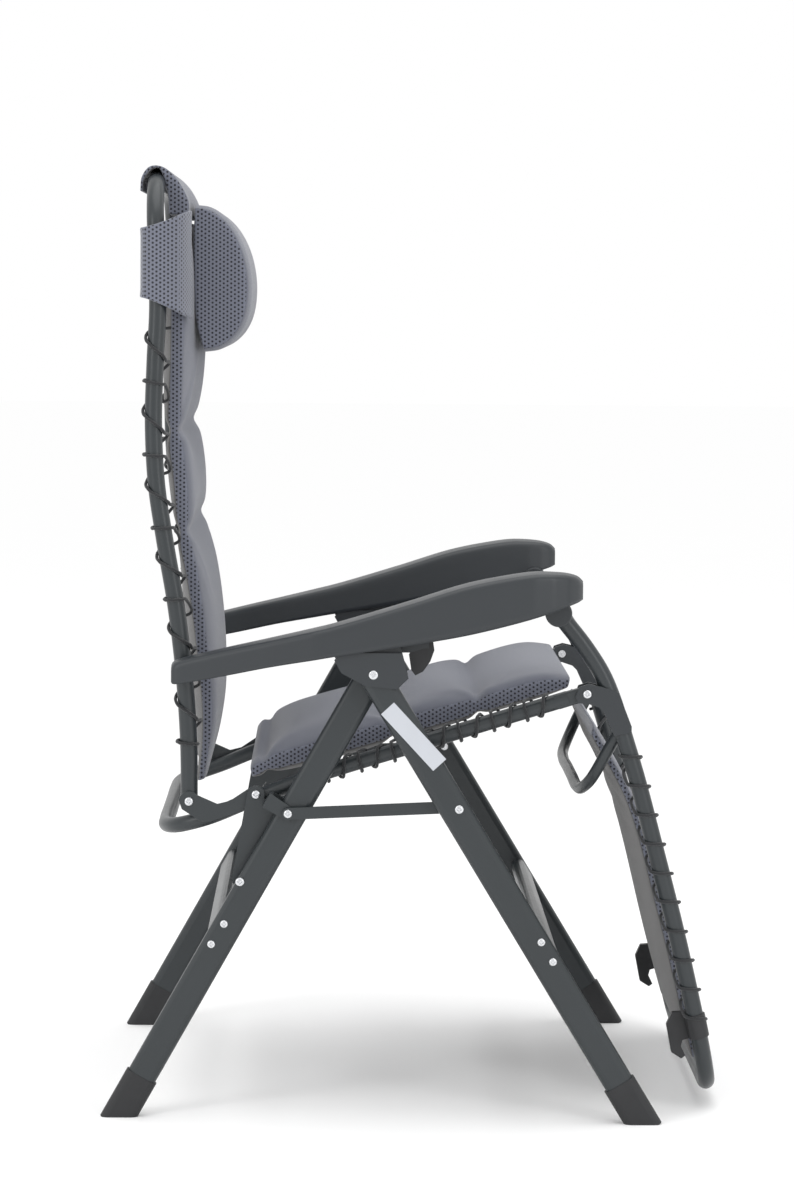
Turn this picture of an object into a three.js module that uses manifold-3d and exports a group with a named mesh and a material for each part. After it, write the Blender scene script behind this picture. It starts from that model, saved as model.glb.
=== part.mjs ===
// A folding zero gravity recliner, in millimetres. +X points to the footrest, +Y to the sitter's left, +Z up.
// The origin is on the floor, under the middle of the chair.
import * as THREE from "three";
import { mergeVertices } from "three/addons/utils/BufferGeometryUtils.js";
import Module from "manifold-3d";

const wasm = await Module();
wasm.setup();

// ---------------------------------------------------------------- driving dimensions
// Pivot centres, seen from the side as [x, z].
const BACK_PIVOT = [-282, 401];
const SEAT_PIVOT = [-197, 411];
const CRANK_PIVOT = [-216, 303];
const ARM_REAR_PIVOT = [-288, 565];
const ARM_FRONT_PIVOT = [184, 644];
const FOOT_PIVOT = [222, 541];
const LEG_TOP_PIVOT = [-50, 570];
const STRUT_REAR_PIVOT = [-156, 391];
const STRUT_FRONT_PIVOT = [59, 401];
const LEVER_PIVOT = [12, 611];
const REAR_FOOT = [-362, 12];
const FRONT_FOOT = [289, 12];
const REAR_BAR = [-244, 236];
const FRONT_BAR = [172, 220];

// Layers across the chair, as distances from its middle plane.
const FRAME_Y = 258;
const TUBE_RADIUS = 11;
const REAR_PLATE_LAYER = [269.6, 272.4];
const CRANK_LAYER = [273.2, 277.2];
const REAR_LEG_LAYER = [280, 300];
const SADDLE_LAYER = [300.6, 303.6];
const STRUT_LAYER = [304.2, 308.2];
const FRONT_LEG_LAYER = [309, 329];
const BRACKET_LAYER = [277.8, 331.8];
const ARM_LAYER = [273, 337];
const LEVER_LAYER = [286, 295];
const LEVER_LUG_LAYER = [295.6, 302];

// The middle of the chair's length, which becomes the origin.
const FORWARD_SHIFT = 3.8;

const LEG_WIDTH = 38;
const LEG_ROUNDING = 9;
const LEG_OVERRUN = 15;
const PIN_RADIUS = 3;
const HOLE_RADIUS = 3.5;
const HEAD_RADIUS = 5.5;
const HEAD_HEIGHT = 2.2;
const LOW_HEAD_HEIGHT = 1.1;
const GAP = 0.3;
const WALL = 3;
const CORD_RADIUS = 2;
const PAD_HALF_WIDTH = 226;

const STEEL = { color: 0x3c4245, roughness: 0.42, metalness: 0.6 };
const PLASTIC = { color: 0x3a3f42, roughness: 0.5, metalness: 0.0 };
const BLACK = { color: 0x17181a, roughness: 0.6, metalness: 0.0 };
const ZINC = { color: 0xc9cbcd, roughness: 0.3, metalness: 1.0 };
const FABRIC = { color: 0x6c707d, roughness: 0.95, metalness: 0.0 };

const chair = new THREE.Group();

// ---------------------------------------------------------------- helpers
function toSolid(geometry) {
  const bare = geometry.clone();
  bare.deleteAttribute("normal");
  bare.deleteAttribute("uv");
  const merged = mergeVertices(bare, 1e-4);
  return new wasm.Manifold(
    new wasm.Mesh({
      numProp: 3,
      vertProperties: new Float32Array(merged.attributes.position.array),
      triVerts: new Uint32Array(merged.index.array),
    }),
  );
}

function toGeometry(solid) {
  const mesh = solid.getMesh();
  const geometry = new THREE.BufferGeometry();
  geometry.setAttribute("position", new THREE.BufferAttribute(mesh.vertProperties, 3));
  geometry.setIndex(new THREE.BufferAttribute(mesh.triVerts, 1));
  geometry.computeVertexNormals();
  return geometry;
}

function join(first, ...others) {
  return others.reduce((whole, other) => whole.add(other), first);
}

function cut(first, ...others) {
  return others.reduce((whole, other) => whole.subtract(other), first);
}

function add(name, shape, finish) {
  const geometry = shape.isBufferGeometry ? shape : toGeometry(shape);
  const mesh = new THREE.Mesh(geometry, new THREE.MeshStandardMaterial(finish));
  mesh.name = name;
  chair.add(mesh);
}

const SIDES = [
  ["right", -1],
  ["left", 1],
];

function eachSide(make) {
  for (const [label, side] of SIDES) make(label, side);
}

// The span of a layer along Y on one side of the chair, low end first.
function span(layer, side) {
  return side > 0 ? [layer[0], layer[1]] : [-layer[1], -layer[0]];
}

// A plate whose outline is drawn in the side view, filling the span along Y.
function plate(outline, [low, high]) {
  const isShape = outline instanceof THREE.Shape;
  const shape = isShape ? outline : new THREE.Shape(outline.map(([x, z]) => new THREE.Vector2(x, z)));
  const geometry = new THREE.ExtrudeGeometry(shape, {
    depth: high - low,
    bevelEnabled: false,
    curveSegments: 6,
  });
  geometry.rotateX(Math.PI / 2);
  geometry.translate(0, high, 0);
  return toSolid(geometry);
}

function rod([x, z], radius, [low, high], sides = 12) {
  const geometry = new THREE.CylinderGeometry(radius, radius, high - low, sides);
  geometry.translate(x, (low + high) / 2, z);
  return toSolid(geometry);
}

// Points on an arc round a centre, both ends included.
function arcPoints([cx, cy], radius, from, to, steps = 5) {
  return Array.from({ length: steps + 1 }, (_, i) => {
    const angle = from + ((to - from) * i) / steps;
    return [cx + radius * Math.cos(angle), cy + radius * Math.sin(angle)];
  });
}

// The outline of a straight link with round ends, seen from the side.
function linkOutline(start, end, radius) {
  const angle = Math.atan2(end[1] - start[1], end[0] - start[0]);
  const quarter = Math.PI / 2;
  return [
    ...arcPoints(start, radius, angle + quarter, angle + 3 * quarter, 8),
    ...arcPoints(end, radius, angle - quarter, angle + quarter, 8),
  ];
}

// A rounded rectangle centred on the origin.
function roundedRectangle(width, height, radius) {
  const w = width / 2 - radius;
  const h = height / 2 - radius;
  const quarter = Math.PI / 2;
  const corners = [
    [w, h],
    [-w, h],
    [-w, -h],
    [w, -h],
  ];
  const points = corners.flatMap((corner, i) => arcPoints(corner, radius, i * quarter, (i + 1) * quarter, 4));
  return new THREE.Shape(points.map(([x, y]) => new THREE.Vector2(x, y)));
}

// A straight bar of flat-oval section between two side view points; its wide face looks along Y.
function ovalBar(from, to, [low, high], width, rounding) {
  const start = new THREE.Vector3(from[0], (low + high) / 2, from[1]);
  const along = new THREE.Vector3(to[0] - from[0], 0, to[1] - from[1]);
  const length = along.length();
  along.normalize();
  const across = new THREE.Vector3(0, 1, 0);
  const sideways = new THREE.Vector3().crossVectors(across, along);
  const geometry = new THREE.ExtrudeGeometry(roundedRectangle(width, high - low, rounding), {
    depth: length,
    bevelEnabled: false,
    curveSegments: 4,
  });
  geometry.applyMatrix4(new THREE.Matrix4().makeBasis(sideways, across, along));
  geometry.translate(start.x, start.y, start.z);
  return toSolid(geometry);
}

// A round bar along a smooth curve through the points; its section has twice as many flats as "sides".
function bentTube(points, radius, steps, sides) {
  const curve = new THREE.CatmullRomCurve3(points, false, "centripetal");
  const circle = new THREE.Shape();
  circle.absarc(0, 0, radius, 0, 2 * Math.PI, false);
  return new THREE.ExtrudeGeometry(circle, {
    steps,
    extrudePath: curve,
    bevelEnabled: false,
    curveSegments: sides,
  });
}

// Triangles that fill a flat ring, wound the same way as the ring.
function capTriangles(ring) {
  const normal = new THREE.Vector3();
  ring.forEach((point, i) => {
    normal.add(new THREE.Vector3().crossVectors(point, ring[(i + 1) % ring.length]));
  });
  normal.normalize();
  const u = new THREE.Vector3().subVectors(ring[1], ring[0]).normalize();
  const v = new THREE.Vector3().crossVectors(normal, u);
  const outline = ring.map((point) => new THREE.Vector2(point.dot(u), point.dot(v)));
  return THREE.ShapeUtils.triangulateShape(outline, []);
}

// A closed solid through rings of equal point count, capped at both ends.
function loft(rings) {
  const count = rings[0].length;
  const positions = rings.flat().flatMap((p) => [p.x, p.y, p.z]);
  const faces = [];
  for (let r = 0; r + 1 < rings.length; r++) {
    for (let i = 0; i < count; i++) {
      const a = r * count + i;
      const b = r * count + ((i + 1) % count);
      faces.push(a, b, b + count, a, b + count, a + count);
    }
  }
  const last = (rings.length - 1) * count;
  for (const [a, b, c] of capTriangles(rings[0])) faces.push(a, c, b);
  for (const [a, b, c] of capTriangles(rings[rings.length - 1])) faces.push(last + a, last + b, last + c);
  const geometry = new THREE.BufferGeometry();
  geometry.setAttribute("position", new THREE.BufferAttribute(new Float32Array(positions), 3));
  geometry.setIndex(faces);
  return geometry;
}

function along(from, to, distance) {
  const dx = to[0] - from[0];
  const dz = to[1] - from[1];
  const length = Math.hypot(dx, dz);
  return [from[0] + (dx * distance) / length, from[1] + (dz * distance) / length];
}

// A pivot pin through the layers between two distances, with a pan head outside and a collar inside.
function pin(centre, layer, side, headHeight = HEAD_HEIGHT) {
  const outward = [layer[1], layer[1] + headHeight];
  const inward = [layer[0] - headHeight, layer[0]];
  return join(
    rod(centre, PIN_RADIUS, span(layer, side), 8),
    rod(centre, HEAD_RADIUS, span(outward, side), 10),
    rod(centre, HEAD_RADIUS, span(inward, side), 8),
  );
}

function hole(centre, layer, side) {
  return rod(centre, HOLE_RADIUS, span([layer[0] - 1, layer[1] + 1], side), 8);
}

// ---------------------------------------------------------------- legs
const CAP_LENGTH = 46;
const CAP_WALL = 2.2;

function leg(foot, layer, side) {
  const top = along(LEG_TOP_PIVOT, foot, -LEG_OVERRUN);
  const end = along(foot, LEG_TOP_PIVOT, 10);
  return ovalBar(end, top, span(layer, side), LEG_WIDTH, LEG_ROUNDING);
}

// A boot over the leg's lower end, trimmed level with the floor.
function footCap(foot, layer, side) {
  const [low, high] = span(layer, side);
  const start = along(foot, LEG_TOP_PIVOT, -24);
  const end = along(foot, LEG_TOP_PIVOT, CAP_LENGTH);
  const outerSpan = [low - CAP_WALL * 0.3, high + CAP_WALL * 0.3];
  const shell = ovalBar(start, end, outerSpan, LEG_WIDTH + 2 * CAP_WALL, LEG_ROUNDING);
  const pocketSpan = [low - GAP, high + GAP];
  const pocketStart = along(foot, LEG_TOP_PIVOT, 10 - GAP);
  const pocketEnd = along(foot, LEG_TOP_PIVOT, CAP_LENGTH + 5);
  const pocket = ovalBar(pocketStart, pocketEnd, pocketSpan, LEG_WIDTH + 2 * GAP, LEG_ROUNDING);
  const below = plate(
    [
      [foot[0] - 120, -80],
      [foot[0] + 120, -80],
      [foot[0] + 120, 0],
      [foot[0] - 120, 0],
    ],
    [low - 20, high + 20],
  );
  return cut(shell, pocket, below);
}

// A crossbar whose wide face lies along the legs, butting between their inner faces.
function crossbar(centre, foot, innerFace) {
  const reach = innerFace - GAP;
  const dx = foot[0] - LEG_TOP_PIVOT[0];
  const dz = foot[1] - LEG_TOP_PIVOT[1];
  const geometry = new THREE.ExtrudeGeometry(roundedRectangle(20, LEG_WIDTH, LEG_ROUNDING), {
    depth: 2 * reach,
    bevelEnabled: false,
    curveSegments: 4,
  });
  geometry.rotateX(Math.PI / 2);
  geometry.translate(0, reach, 0);
  geometry.rotateY(Math.atan2(dx, dz) + Math.PI);
  geometry.translate(centre[0], 0, centre[1]);
  return toSolid(geometry);
}

function makeLegs() {
  eachSide((label, side) => {
    const rear = leg(REAR_FOOT, REAR_LEG_LAYER, side);
    const rearHoles = [LEG_TOP_PIVOT, CRANK_PIVOT].map((p) => hole(p, REAR_LEG_LAYER, side));
    add("rear_leg_" + label, cut(rear, ...rearHoles), STEEL);
    add("rear_foot_cap_" + label, footCap(REAR_FOOT, REAR_LEG_LAYER, side), BLACK);
    const front = leg(FRONT_FOOT, FRONT_LEG_LAYER, side);
    const frontHoles = [LEG_TOP_PIVOT, STRUT_FRONT_PIVOT].map((p) => hole(p, FRONT_LEG_LAYER, side));
    add("front_leg_" + label, cut(front, ...frontHoles), STEEL);
    add("front_foot_cap_" + label, footCap(FRONT_FOOT, FRONT_LEG_LAYER, side), BLACK);
  });
  add("rear_crossbar", crossbar(REAR_BAR, REAR_FOOT, REAR_LEG_LAYER[0]), STEEL);
  add("front_crossbar", crossbar(FRONT_BAR, FRONT_FOOT, FRONT_LEG_LAYER[0]), STEEL);
}

// ---------------------------------------------------------------- leg-top brackets and levers
const BRACKET_OUTLINE = [
  [-99, 588],
  [-90, 572],
  [-60, 556],
  [-20, 552],
  [-6, 566],
  [-16, 604],
  [-88, 604],
];
const BRACKET_INSIDE = [
  [-130, 500],
  [30, 500],
  [30, 595.5],
  [-130, 595.5],
];
const BRACKET_SHOULDER = [
  [-130, 597.5],
  [30, 597.5],
  [30, 610],
  [-130, 610],
];
const SHOULDER_WIDTH = 6.2;
const LEVER_LUG = [
  [-24, 598],
  [-14, 592],
  [20, 603],
  [20, 619],
  [-24, 619],
];
const LEVER_OUTLINE = [
  [3, 618],
  [2, 602],
  [-5, 592],
  [-2, 573],
  [3, 566],
  [13, 571],
  [22, 584],
  [27, 598],
  [24, 618],
];

// The steps along a bracket's two top edges, which clear the armrest's walls when it comes down.
function bracketShoulders(side) {
  const [low, high] = BRACKET_LAYER;
  return [
    plate(BRACKET_SHOULDER, span([low - 1, low + SHOULDER_WIDTH], side)),
    plate(BRACKET_SHOULDER, span([high - SHOULDER_WIDTH, high + 1], side)),
  ];
}

// An inverted channel over the tops of both legs, with a lug in front for the release lever.
function legBracket(side) {
  const outer = plate(BRACKET_OUTLINE, span(BRACKET_LAYER, side));
  const inner = plate(BRACKET_INSIDE, span([BRACKET_LAYER[0] + 1.7, BRACKET_LAYER[1] - 2.3], side));
  const lug = plate(LEVER_LUG, span(LEVER_LUG_LAYER, side));
  const shell = cut(outer, inner, ...bracketShoulders(side));
  const trimmedLug = cut(lug, inner);
  return cut(
    join(shell, trimmedLug, lugWeb(side)),
    hole(LEG_TOP_PIVOT, BRACKET_LAYER, side),
    hole(LEVER_PIVOT, LEVER_LUG_LAYER, side),
  );
}

// The strip that ties the lever's lug back to the top of the bracket.
function lugWeb(side) {
  return plate(
    [
      [-60, 601],
      [20, 601],
      [20, 619],
      [-24, 619],
    ],
    span(LEVER_LUG_LAYER, side),
  );
}

function lever(side) {
  const blade = plate(LEVER_OUTLINE, span(LEVER_LAYER, side));
  const axle = rod(LEVER_PIVOT, PIN_RADIUS, span([LEVER_LAYER[1] - 1, LEVER_LUG_LAYER[1] + 1], side), 10);
  return join(blade, axle);
}

function makeBrackets() {
  eachSide((label, side) => {
    add("leg_bracket_" + label, legBracket(side), PLASTIC);
    add("release_lever_" + label, lever(side), BLACK);
    const pinLayer = [BRACKET_LAYER[0] - GAP, BRACKET_LAYER[1] + GAP];
    add("leg_pin_" + label, pin(LEG_TOP_PIVOT, pinLayer, side, LOW_HEAD_HEIGHT), ZINC);
  });
}

// ---------------------------------------------------------------- struts and cranks
const STRUT_HALF_HEIGHT = 7.5;
const CRANK_HALF_WIDTH = 11;
const SADDLE_THICKNESS = 5;

// A flat link from the crank's saddle to the front leg.
function strut(side) {
  const outline = linkOutline(STRUT_REAR_PIVOT, STRUT_FRONT_PIVOT, STRUT_HALF_HEIGHT);
  const blade = plate(outline, span(STRUT_LAYER, side));
  return cut(blade, hole(STRUT_REAR_PIVOT, STRUT_LAYER, side), hole(STRUT_FRONT_PIVOT, STRUT_LAYER, side));
}

// The saddle is a channel round the rear edge of the rear leg; its outer cheek carries the strut's pin.
function saddle(side) {
  const direction = along([0, 0], [LEG_TOP_PIVOT[0] - REAR_FOOT[0], LEG_TOP_PIVOT[1] - REAR_FOOT[1]], 1);
  const normal = [-direction[1], direction[0]];
  const at = (distance, offset) => [
    STRUT_REAR_PIVOT[0] + direction[0] * distance + normal[0] * offset,
    STRUT_REAR_PIVOT[1] + direction[1] * distance + normal[1] * offset,
  ];
  const rearEdge = LEG_WIDTH / 2 + 8;
  const back = plate(
    [
      at(-9, rearEdge),
      at(-9, rearEdge + SADDLE_THICKNESS),
      at(11, rearEdge + SADDLE_THICKNESS),
      at(11, rearEdge),
    ],
    span([CRANK_LAYER[0], SADDLE_LAYER[1]], side),
  );
  const cheekOutline = [at(-9, -7), at(-9, rearEdge + 1), at(11, rearEdge + 1), at(8, -7)];
  const cheek = plate(cheekOutline, span(SADDLE_LAYER, side));
  const innerOutline = [at(-9, 10), at(-9, rearEdge + 1), at(11, rearEdge + 1), at(11, 10)];
  const inner = plate(innerOutline, span(CRANK_LAYER, side));
  return join(back, cheek, inner);
}

function crank(side) {
  const layer = span(CRANK_LAYER, side);
  const arm = plate(linkOutline(CRANK_PIVOT, SEAT_PIVOT, CRANK_HALF_WIDTH), layer);
  const braceEnd = along(STRUT_REAR_PIVOT, CRANK_PIVOT, 6);
  const brace = plate(linkOutline(CRANK_PIVOT, braceEnd, CRANK_HALF_WIDTH - 1), layer);
  const web = plate([SEAT_PIVOT, CRANK_PIVOT, STRUT_REAR_PIVOT], layer);
  return cut(
    join(arm, brace, web, saddle(side)),
    hole(CRANK_PIVOT, CRANK_LAYER, side),
    hole(SEAT_PIVOT, CRANK_LAYER, side),
    hole(STRUT_REAR_PIVOT, [CRANK_LAYER[0], SADDLE_LAYER[1]], side),
  );
}

function makeLinks() {
  eachSide((label, side) => {
    add("strut_" + label, strut(side), STEEL);
    add("crank_" + label, crank(side), STEEL);
    add("crank_pin_" + label, pin(CRANK_PIVOT, [CRANK_LAYER[0] - GAP, REAR_LEG_LAYER[1] + GAP], side), ZINC);
    const strutPinLayer = [STRUT_LAYER[0] - GAP, FRONT_LEG_LAYER[1] + GAP];
    add("strut_front_pin_" + label, pin(STRUT_FRONT_PIVOT, strutPinLayer, side), ZINC);
    add("strut_rear_pin_" + label, strutRearPin(side), ZINC);
  });
}

// A short rivet in the strut's own thickness, clear of the saddle behind it.
function strutRearPin(side) {
  return join(
    rod(STRUT_REAR_PIVOT, PIN_RADIUS, span([STRUT_LAYER[0] + 0.1, STRUT_LAYER[1] + GAP], side), 8),
    rod(STRUT_REAR_PIVOT, HEAD_RADIUS, span([STRUT_LAYER[1] + GAP, STRUT_LAYER[1] + GAP + 1.8], side), 12),
  );
}

// ---------------------------------------------------------------- frame tubes
// Mirrors a near-side list of points across the middle plane and joins both into one route.
function bothSides(points) {
  const near = points.map(([x, y, z]) => new THREE.Vector3(x, -y, z));
  const far = points.map(([x, y, z]) => new THREE.Vector3(x, y, z)).reverse();
  return near.concat(far);
}

const TUBE_STEPS = 54;
const TUBE_SIDES = 4;

// The back's side rails bow to the rear at the waist; a rounded top joins them.
function backTube(radius) {
  const rail = [
    [-282, FRAME_Y, 393],
    [-283, FRAME_Y, 471],
    [-289, FRAME_Y, 560],
    [-300, FRAME_Y, 650],
    [-314, FRAME_Y, 730],
    [-325, FRAME_Y, 803],
    [-329, FRAME_Y, 880],
    [-327, FRAME_Y, 958],
    [-324, FRAME_Y, 1024],
    [-326, FRAME_Y, 1095],
    [-328, FRAME_Y - 12, 1146],
    [-329, FRAME_Y - 48, 1178],
    [-330, FRAME_Y - 110, 1187],
    [-330, 70, 1188],
  ];
  return toSolid(bentTube(bothSides(rail), radius, TUBE_STEPS, TUBE_SIDES));
}

function backFrame() {
  const tube = backTube(TUBE_RADIUS);
  const holes = SIDES.flatMap(([, side]) =>
    [BACK_PIVOT, ARM_REAR_PIVOT].map((p) => hole(p, [FRAME_Y - 14, FRAME_Y + 14], side)),
  );
  return cut(tube, ...holes);
}

// The seat's side rails run straight from the front pivot and drop into a rear loop behind the back.
function seatFrame() {
  const rail = [
    [198, FRAME_Y, 534],
    [140, FRAME_Y, 516],
    [0, FRAME_Y, 472],
    [-120, FRAME_Y, 434],
    [-205, FRAME_Y, 401],
    [-255, FRAME_Y - 1, 380],
    [-292, FRAME_Y - 14, 368],
    [-311, FRAME_Y - 50, 362],
    [-315, FRAME_Y - 115, 360],
    [-315, 60, 360],
  ];
  const tube = toSolid(bentTube(bothSides(rail), TUBE_RADIUS - 1, TUBE_STEPS, TUBE_SIDES));
  const plates = SIDES.flatMap(([, side]) => [rearPlate(side), seatLug(SEAT_PIVOT, side)]);
  const holes = SIDES.flatMap(([, side]) => [
    hole(BACK_PIVOT, [FRAME_Y - 14, REAR_PLATE_LAYER[1]], side),
    hole(SEAT_PIVOT, [FRAME_Y - 14, REAR_PLATE_LAYER[1]], side),
    hole(FOOT_PIVOT, [FRAME_Y - 14, FRAME_Y + 14], side),
  ]);
  return cut(join(tube, ...plates, ...SIDES.map(([, side]) => railEnd(side))), ...holes);
}

// The flattened front end of a seat rail.
function railEnd(side) {
  return plate(linkOutline([186, 530], FOOT_PIVOT, 9), span([FRAME_Y - 8, FRAME_Y + 8], side));
}

// A boss that brings the seat rail out to the crank.
function seatLug(centre, side) {
  return rod(centre, 9, span([FRAME_Y, REAR_PLATE_LAYER[1]], side), 14);
}

// The V-shaped plate welded to the outside of the rail, from the back pivot to the seat pivot.
function rearPlate(side) {
  const outline = [
    [-295, 402],
    [-289, 413],
    [-276, 413],
    [-246, 397],
    [-206, 404],
    [-206, 389],
    [-255, 376],
    [-268, 376],
    [-291, 391],
  ];
  const skin = plate(outline, span(REAR_PLATE_LAYER, side));
  const weld = plate(
    [
      [-215, 399],
      [-262, 381],
      [-258, 376],
      [-212, 391],
    ],
    span([FRAME_Y, REAR_PLATE_LAYER[1]], side),
  );
  return join(skin, weld);
}

// The footrest's side rails hang from the armrests, pass the front pivot and close in a cross tube.
function footFrame() {
  const rail = [
    [ARM_FRONT_PIVOT[0] - 6, FRAME_Y, ARM_FRONT_PIVOT[1] + 7],
    [196, FRAME_Y, 629],
    [219, FRAME_Y, 600],
    [241, FRAME_Y, 566],
    [255, FRAME_Y, 534],
    [268, FRAME_Y, 494],
    [288, FRAME_Y, 430],
    [310, FRAME_Y, 350],
    [338, FRAME_Y, 245],
    [362, FRAME_Y, 145],
    [376, FRAME_Y - 4, 82],
    [384, FRAME_Y - 24, 44],
    [388, FRAME_Y - 66, 28],
    [389, FRAME_Y - 130, 26],
    [389, 50, 26],
  ];
  return bentTube(bothSides(rail), TUBE_RADIUS, TUBE_STEPS, TUBE_SIDES);
}

// A two-cheeked bracket clamped round the footrest tube; its cheeks hold the end of the seat rail.
function footBracket(side, tubeRoom) {
  const outline = [
    [207, 537],
    [212, 550],
    [224, 554],
    [242, 550],
    [262, 543],
    [279, 500],
    [279, 492],
    [257, 488],
    [244, 517],
    [237, 524],
    [222, 529],
    [211, 529],
  ];
  const cheeks = [
    [FRAME_Y - 12.6, FRAME_Y - 9.2],
    [FRAME_Y + 9.2, FRAME_Y + 12.6],
  ];
  const skins = cheeks.map((layer) => plate(outline, span(layer, side)));
  const sleeve = plate(
    [
      [247, 549],
      [262, 543],
      [279, 500],
      [279, 492],
      [257, 488],
      [246, 514],
    ],
    span([FRAME_Y - 12.6, FRAME_Y + 12.6], side),
  );
  return cut(join(...skins, sleeve), tubeRoom, hole(FOOT_PIVOT, [FRAME_Y - 14, FRAME_Y + 14], side));
}

// The round U bar under the front of the seat, ending just short of the footrest brackets.
function loopBar() {
  const rail = [
    [256, FRAME_Y - 15, 482],
    [246, FRAME_Y - 18, 456],
    [232, FRAME_Y - 32, 428],
    [222, FRAME_Y - 66, 411],
    [219, FRAME_Y - 120, 406],
    [219, 50, 406],
  ];
  return bentTube(bothSides(rail), 7.5, 32, 4);
}

// A plastic hook behind each footrest tube that holds the folded chair shut.
function foldClip(side) {
  const outline = [
    [338, 128],
    [345, 131],
    [350, 84],
    [356, 72],
    [351, 68],
    [338, 76],
    [331, 112],
  ];
  return plate(outline, span([FRAME_Y - 22, FRAME_Y - 15], side));
}

function makeFrames() {
  add("back_frame", backFrame(), STEEL);
  add("seat_frame", seatFrame(), STEEL);
  add("foot_frame", footFrame(), STEEL);
  add("loop_bar", loopBar(), STEEL);
  const tubeRoom = toSolid(
    bentTube(
      [
        [230, 586],
        [241, 566],
        [255, 534],
        [268, 494],
        [288, 430],
      ].map(([x, z]) => new THREE.Vector3(x, 0, z)),
      TUBE_RADIUS + 1.6,
      6,
      5,
    ),
  );
  eachSide((label, side) => {
    const room = tubeRoom.translate([0, side * FRAME_Y, 0]);
    add("foot_bracket_" + label, footBracket(side, room), PLASTIC);
    add("fold_clip_" + label, foldClip(side), BLACK);
    add("back_pin_" + label, pin(BACK_PIVOT, [FRAME_Y - 12, REAR_PLATE_LAYER[1] + GAP], side), ZINC);
    add("seat_pin_" + label, pin(SEAT_PIVOT, [FRAME_Y - 11, CRANK_LAYER[1] + GAP], side), ZINC);
    add("foot_pin_" + label, pin(FOOT_PIVOT, [FRAME_Y - 13, FRAME_Y + 13], side), ZINC);
  });
}

// ---------------------------------------------------------------- armrests
// Side view of an armrest: x, underside, top, and its inner and outer faces.
const ARM_SECTIONS = [
  [-304, 556, 576, 273, 303],
  [-297, 554, 581, 273, 306],
  [-240, 565, 597, 273, 316],
  [-180, 578, 611, 273, 327],
  [-125, 588, 624, 273, 336],
  [-97, 593, 631, 273, 337],
  [-8, 607, 658, 273, 337],
  [64, 620, 681, 273, 337],
  [128, 636, 694, 273, 337],
  [165, 647, 697, 273, 337],
  [192, 656, 696, 274, 336],
  [206, 661, 690, 276, 332],
  [213, 664, 681, 279, 325],
];
const ARM_CORNER = 0.36;

// A ring of an armrest's outside or inside: flat below, rounded above.
function armRing([x, bottom, top, inner, outer], side, inset, drop) {
  const low = bottom - drop;
  const high = top - inset;
  const left = inner + inset;
  const right = outer - inset;
  const radius = ARM_CORNER * (top - bottom) * (inset > 0 ? 0.8 : 1);
  const points = [
    [left, low],
    [right, low],
  ];
  const quarter = 4;
  for (let i = 0; i <= quarter; i++) {
    const a = (i / quarter) * (Math.PI / 2);
    points.push([right - radius + radius * Math.cos(a), high - radius + radius * Math.sin(a)]);
  }
  for (let i = 0; i <= quarter; i++) {
    const a = Math.PI / 2 + (i / quarter) * (Math.PI / 2);
    points.push([left + radius + radius * Math.cos(a), high - radius + radius * Math.sin(a)]);
  }
  const ring = points.map(([y, z]) => new THREE.Vector3(x, side * y, z));
  return side > 0 ? ring : ring.reverse();
}

// A hollow moulding, open below, with a boss on its inner wall at each end for the frame tubes.
function armrest(side) {
  const outside = toSolid(loft(ARM_SECTIONS.map((s) => armRing(s, side, 0, 0))));
  const insideSections = ARM_SECTIONS.slice(2, -3);
  const inside = toSolid(loft(insideSections.map((s) => armRing(s, side, WALL, 40))));
  const frontBoss = rod(ARM_FRONT_PIVOT, 17, span([ARM_LAYER[0] - 2.6, ARM_LAYER[0] + 10], side), 20);
  const rearBoss = rod(ARM_REAR_PIVOT, 9, span([ARM_LAYER[0] - 2.6, ARM_LAYER[0] + 6], side), 16);
  return cut(
    join(cut(outside, inside), frontBoss, rearBoss),
    hole(ARM_FRONT_PIVOT, [ARM_LAYER[0] - 4, ARM_LAYER[0] + 12], side),
    hole(ARM_REAR_PIVOT, [ARM_LAYER[0] - 4, ARM_LAYER[0] + 8], side),
  );
}

// A pin through the back tube that ends inside the armrest's boss, so only its inner head shows.
function armRearPin(side) {
  return join(
    rod(ARM_REAR_PIVOT, PIN_RADIUS, span([FRAME_Y - 13, ARM_LAYER[0] + 5], side), 8),
    rod(ARM_REAR_PIVOT, HEAD_RADIUS, span([FRAME_Y - 15, FRAME_Y - 13], side), 10),
  );
}

// A stub in the armrest's front boss that faces the footrest tube across a small gap.
function armFrontPin(side) {
  return rod(ARM_FRONT_PIVOT, PIN_RADIUS, span([ARM_LAYER[0] - 2.8, ARM_LAYER[0] + 8], side), 8);
}

function makeArmrests() {
  eachSide((label, side) => {
    add("armrest_" + label, armrest(side), PLASTIC);
    add("arm_rear_pin_" + label, armRearPin(side), ZINC);
    add("arm_front_pin_" + label, armFrontPin(side), ZINC);
  });
}

// ---------------------------------------------------------------- padded sling
// A pad whose side view is given as pairs of front and rear points, rounded towards its side edges.
function pad(pairs, halfWidth, edge = 0.35) {
  const rings = [];
  const columns = [
    [-1, edge],
    [-0.93, 1],
    [0.93, 1],
    [1, edge],
  ];
  for (const [share, thickness] of columns) {
    const top = [];
    const under = [];
    for (const [x0, z0, x1, z1] of pairs) {
      const mx = (x0 + x1) / 2;
      const mz = (z0 + z1) / 2;
      const y = share * halfWidth;
      top.push(new THREE.Vector3(mx + (x0 - mx) * thickness, y, mz + (z0 - mz) * thickness));
      under.push(new THREE.Vector3(mx + (x1 - mx) * thickness, y, mz + (z1 - mz) * thickness));
    }
    rings.push(top.concat(under.reverse()));
  }
  return rings;
}

// Closes pad rings whichever way round their outline was drawn.
function padSolid(rings) {
  const solid = toSolid(loft(rings));
  return solid.volume() > 0 ? solid : toSolid(loft(rings.map((ring) => ring.slice().reverse())));
}

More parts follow.
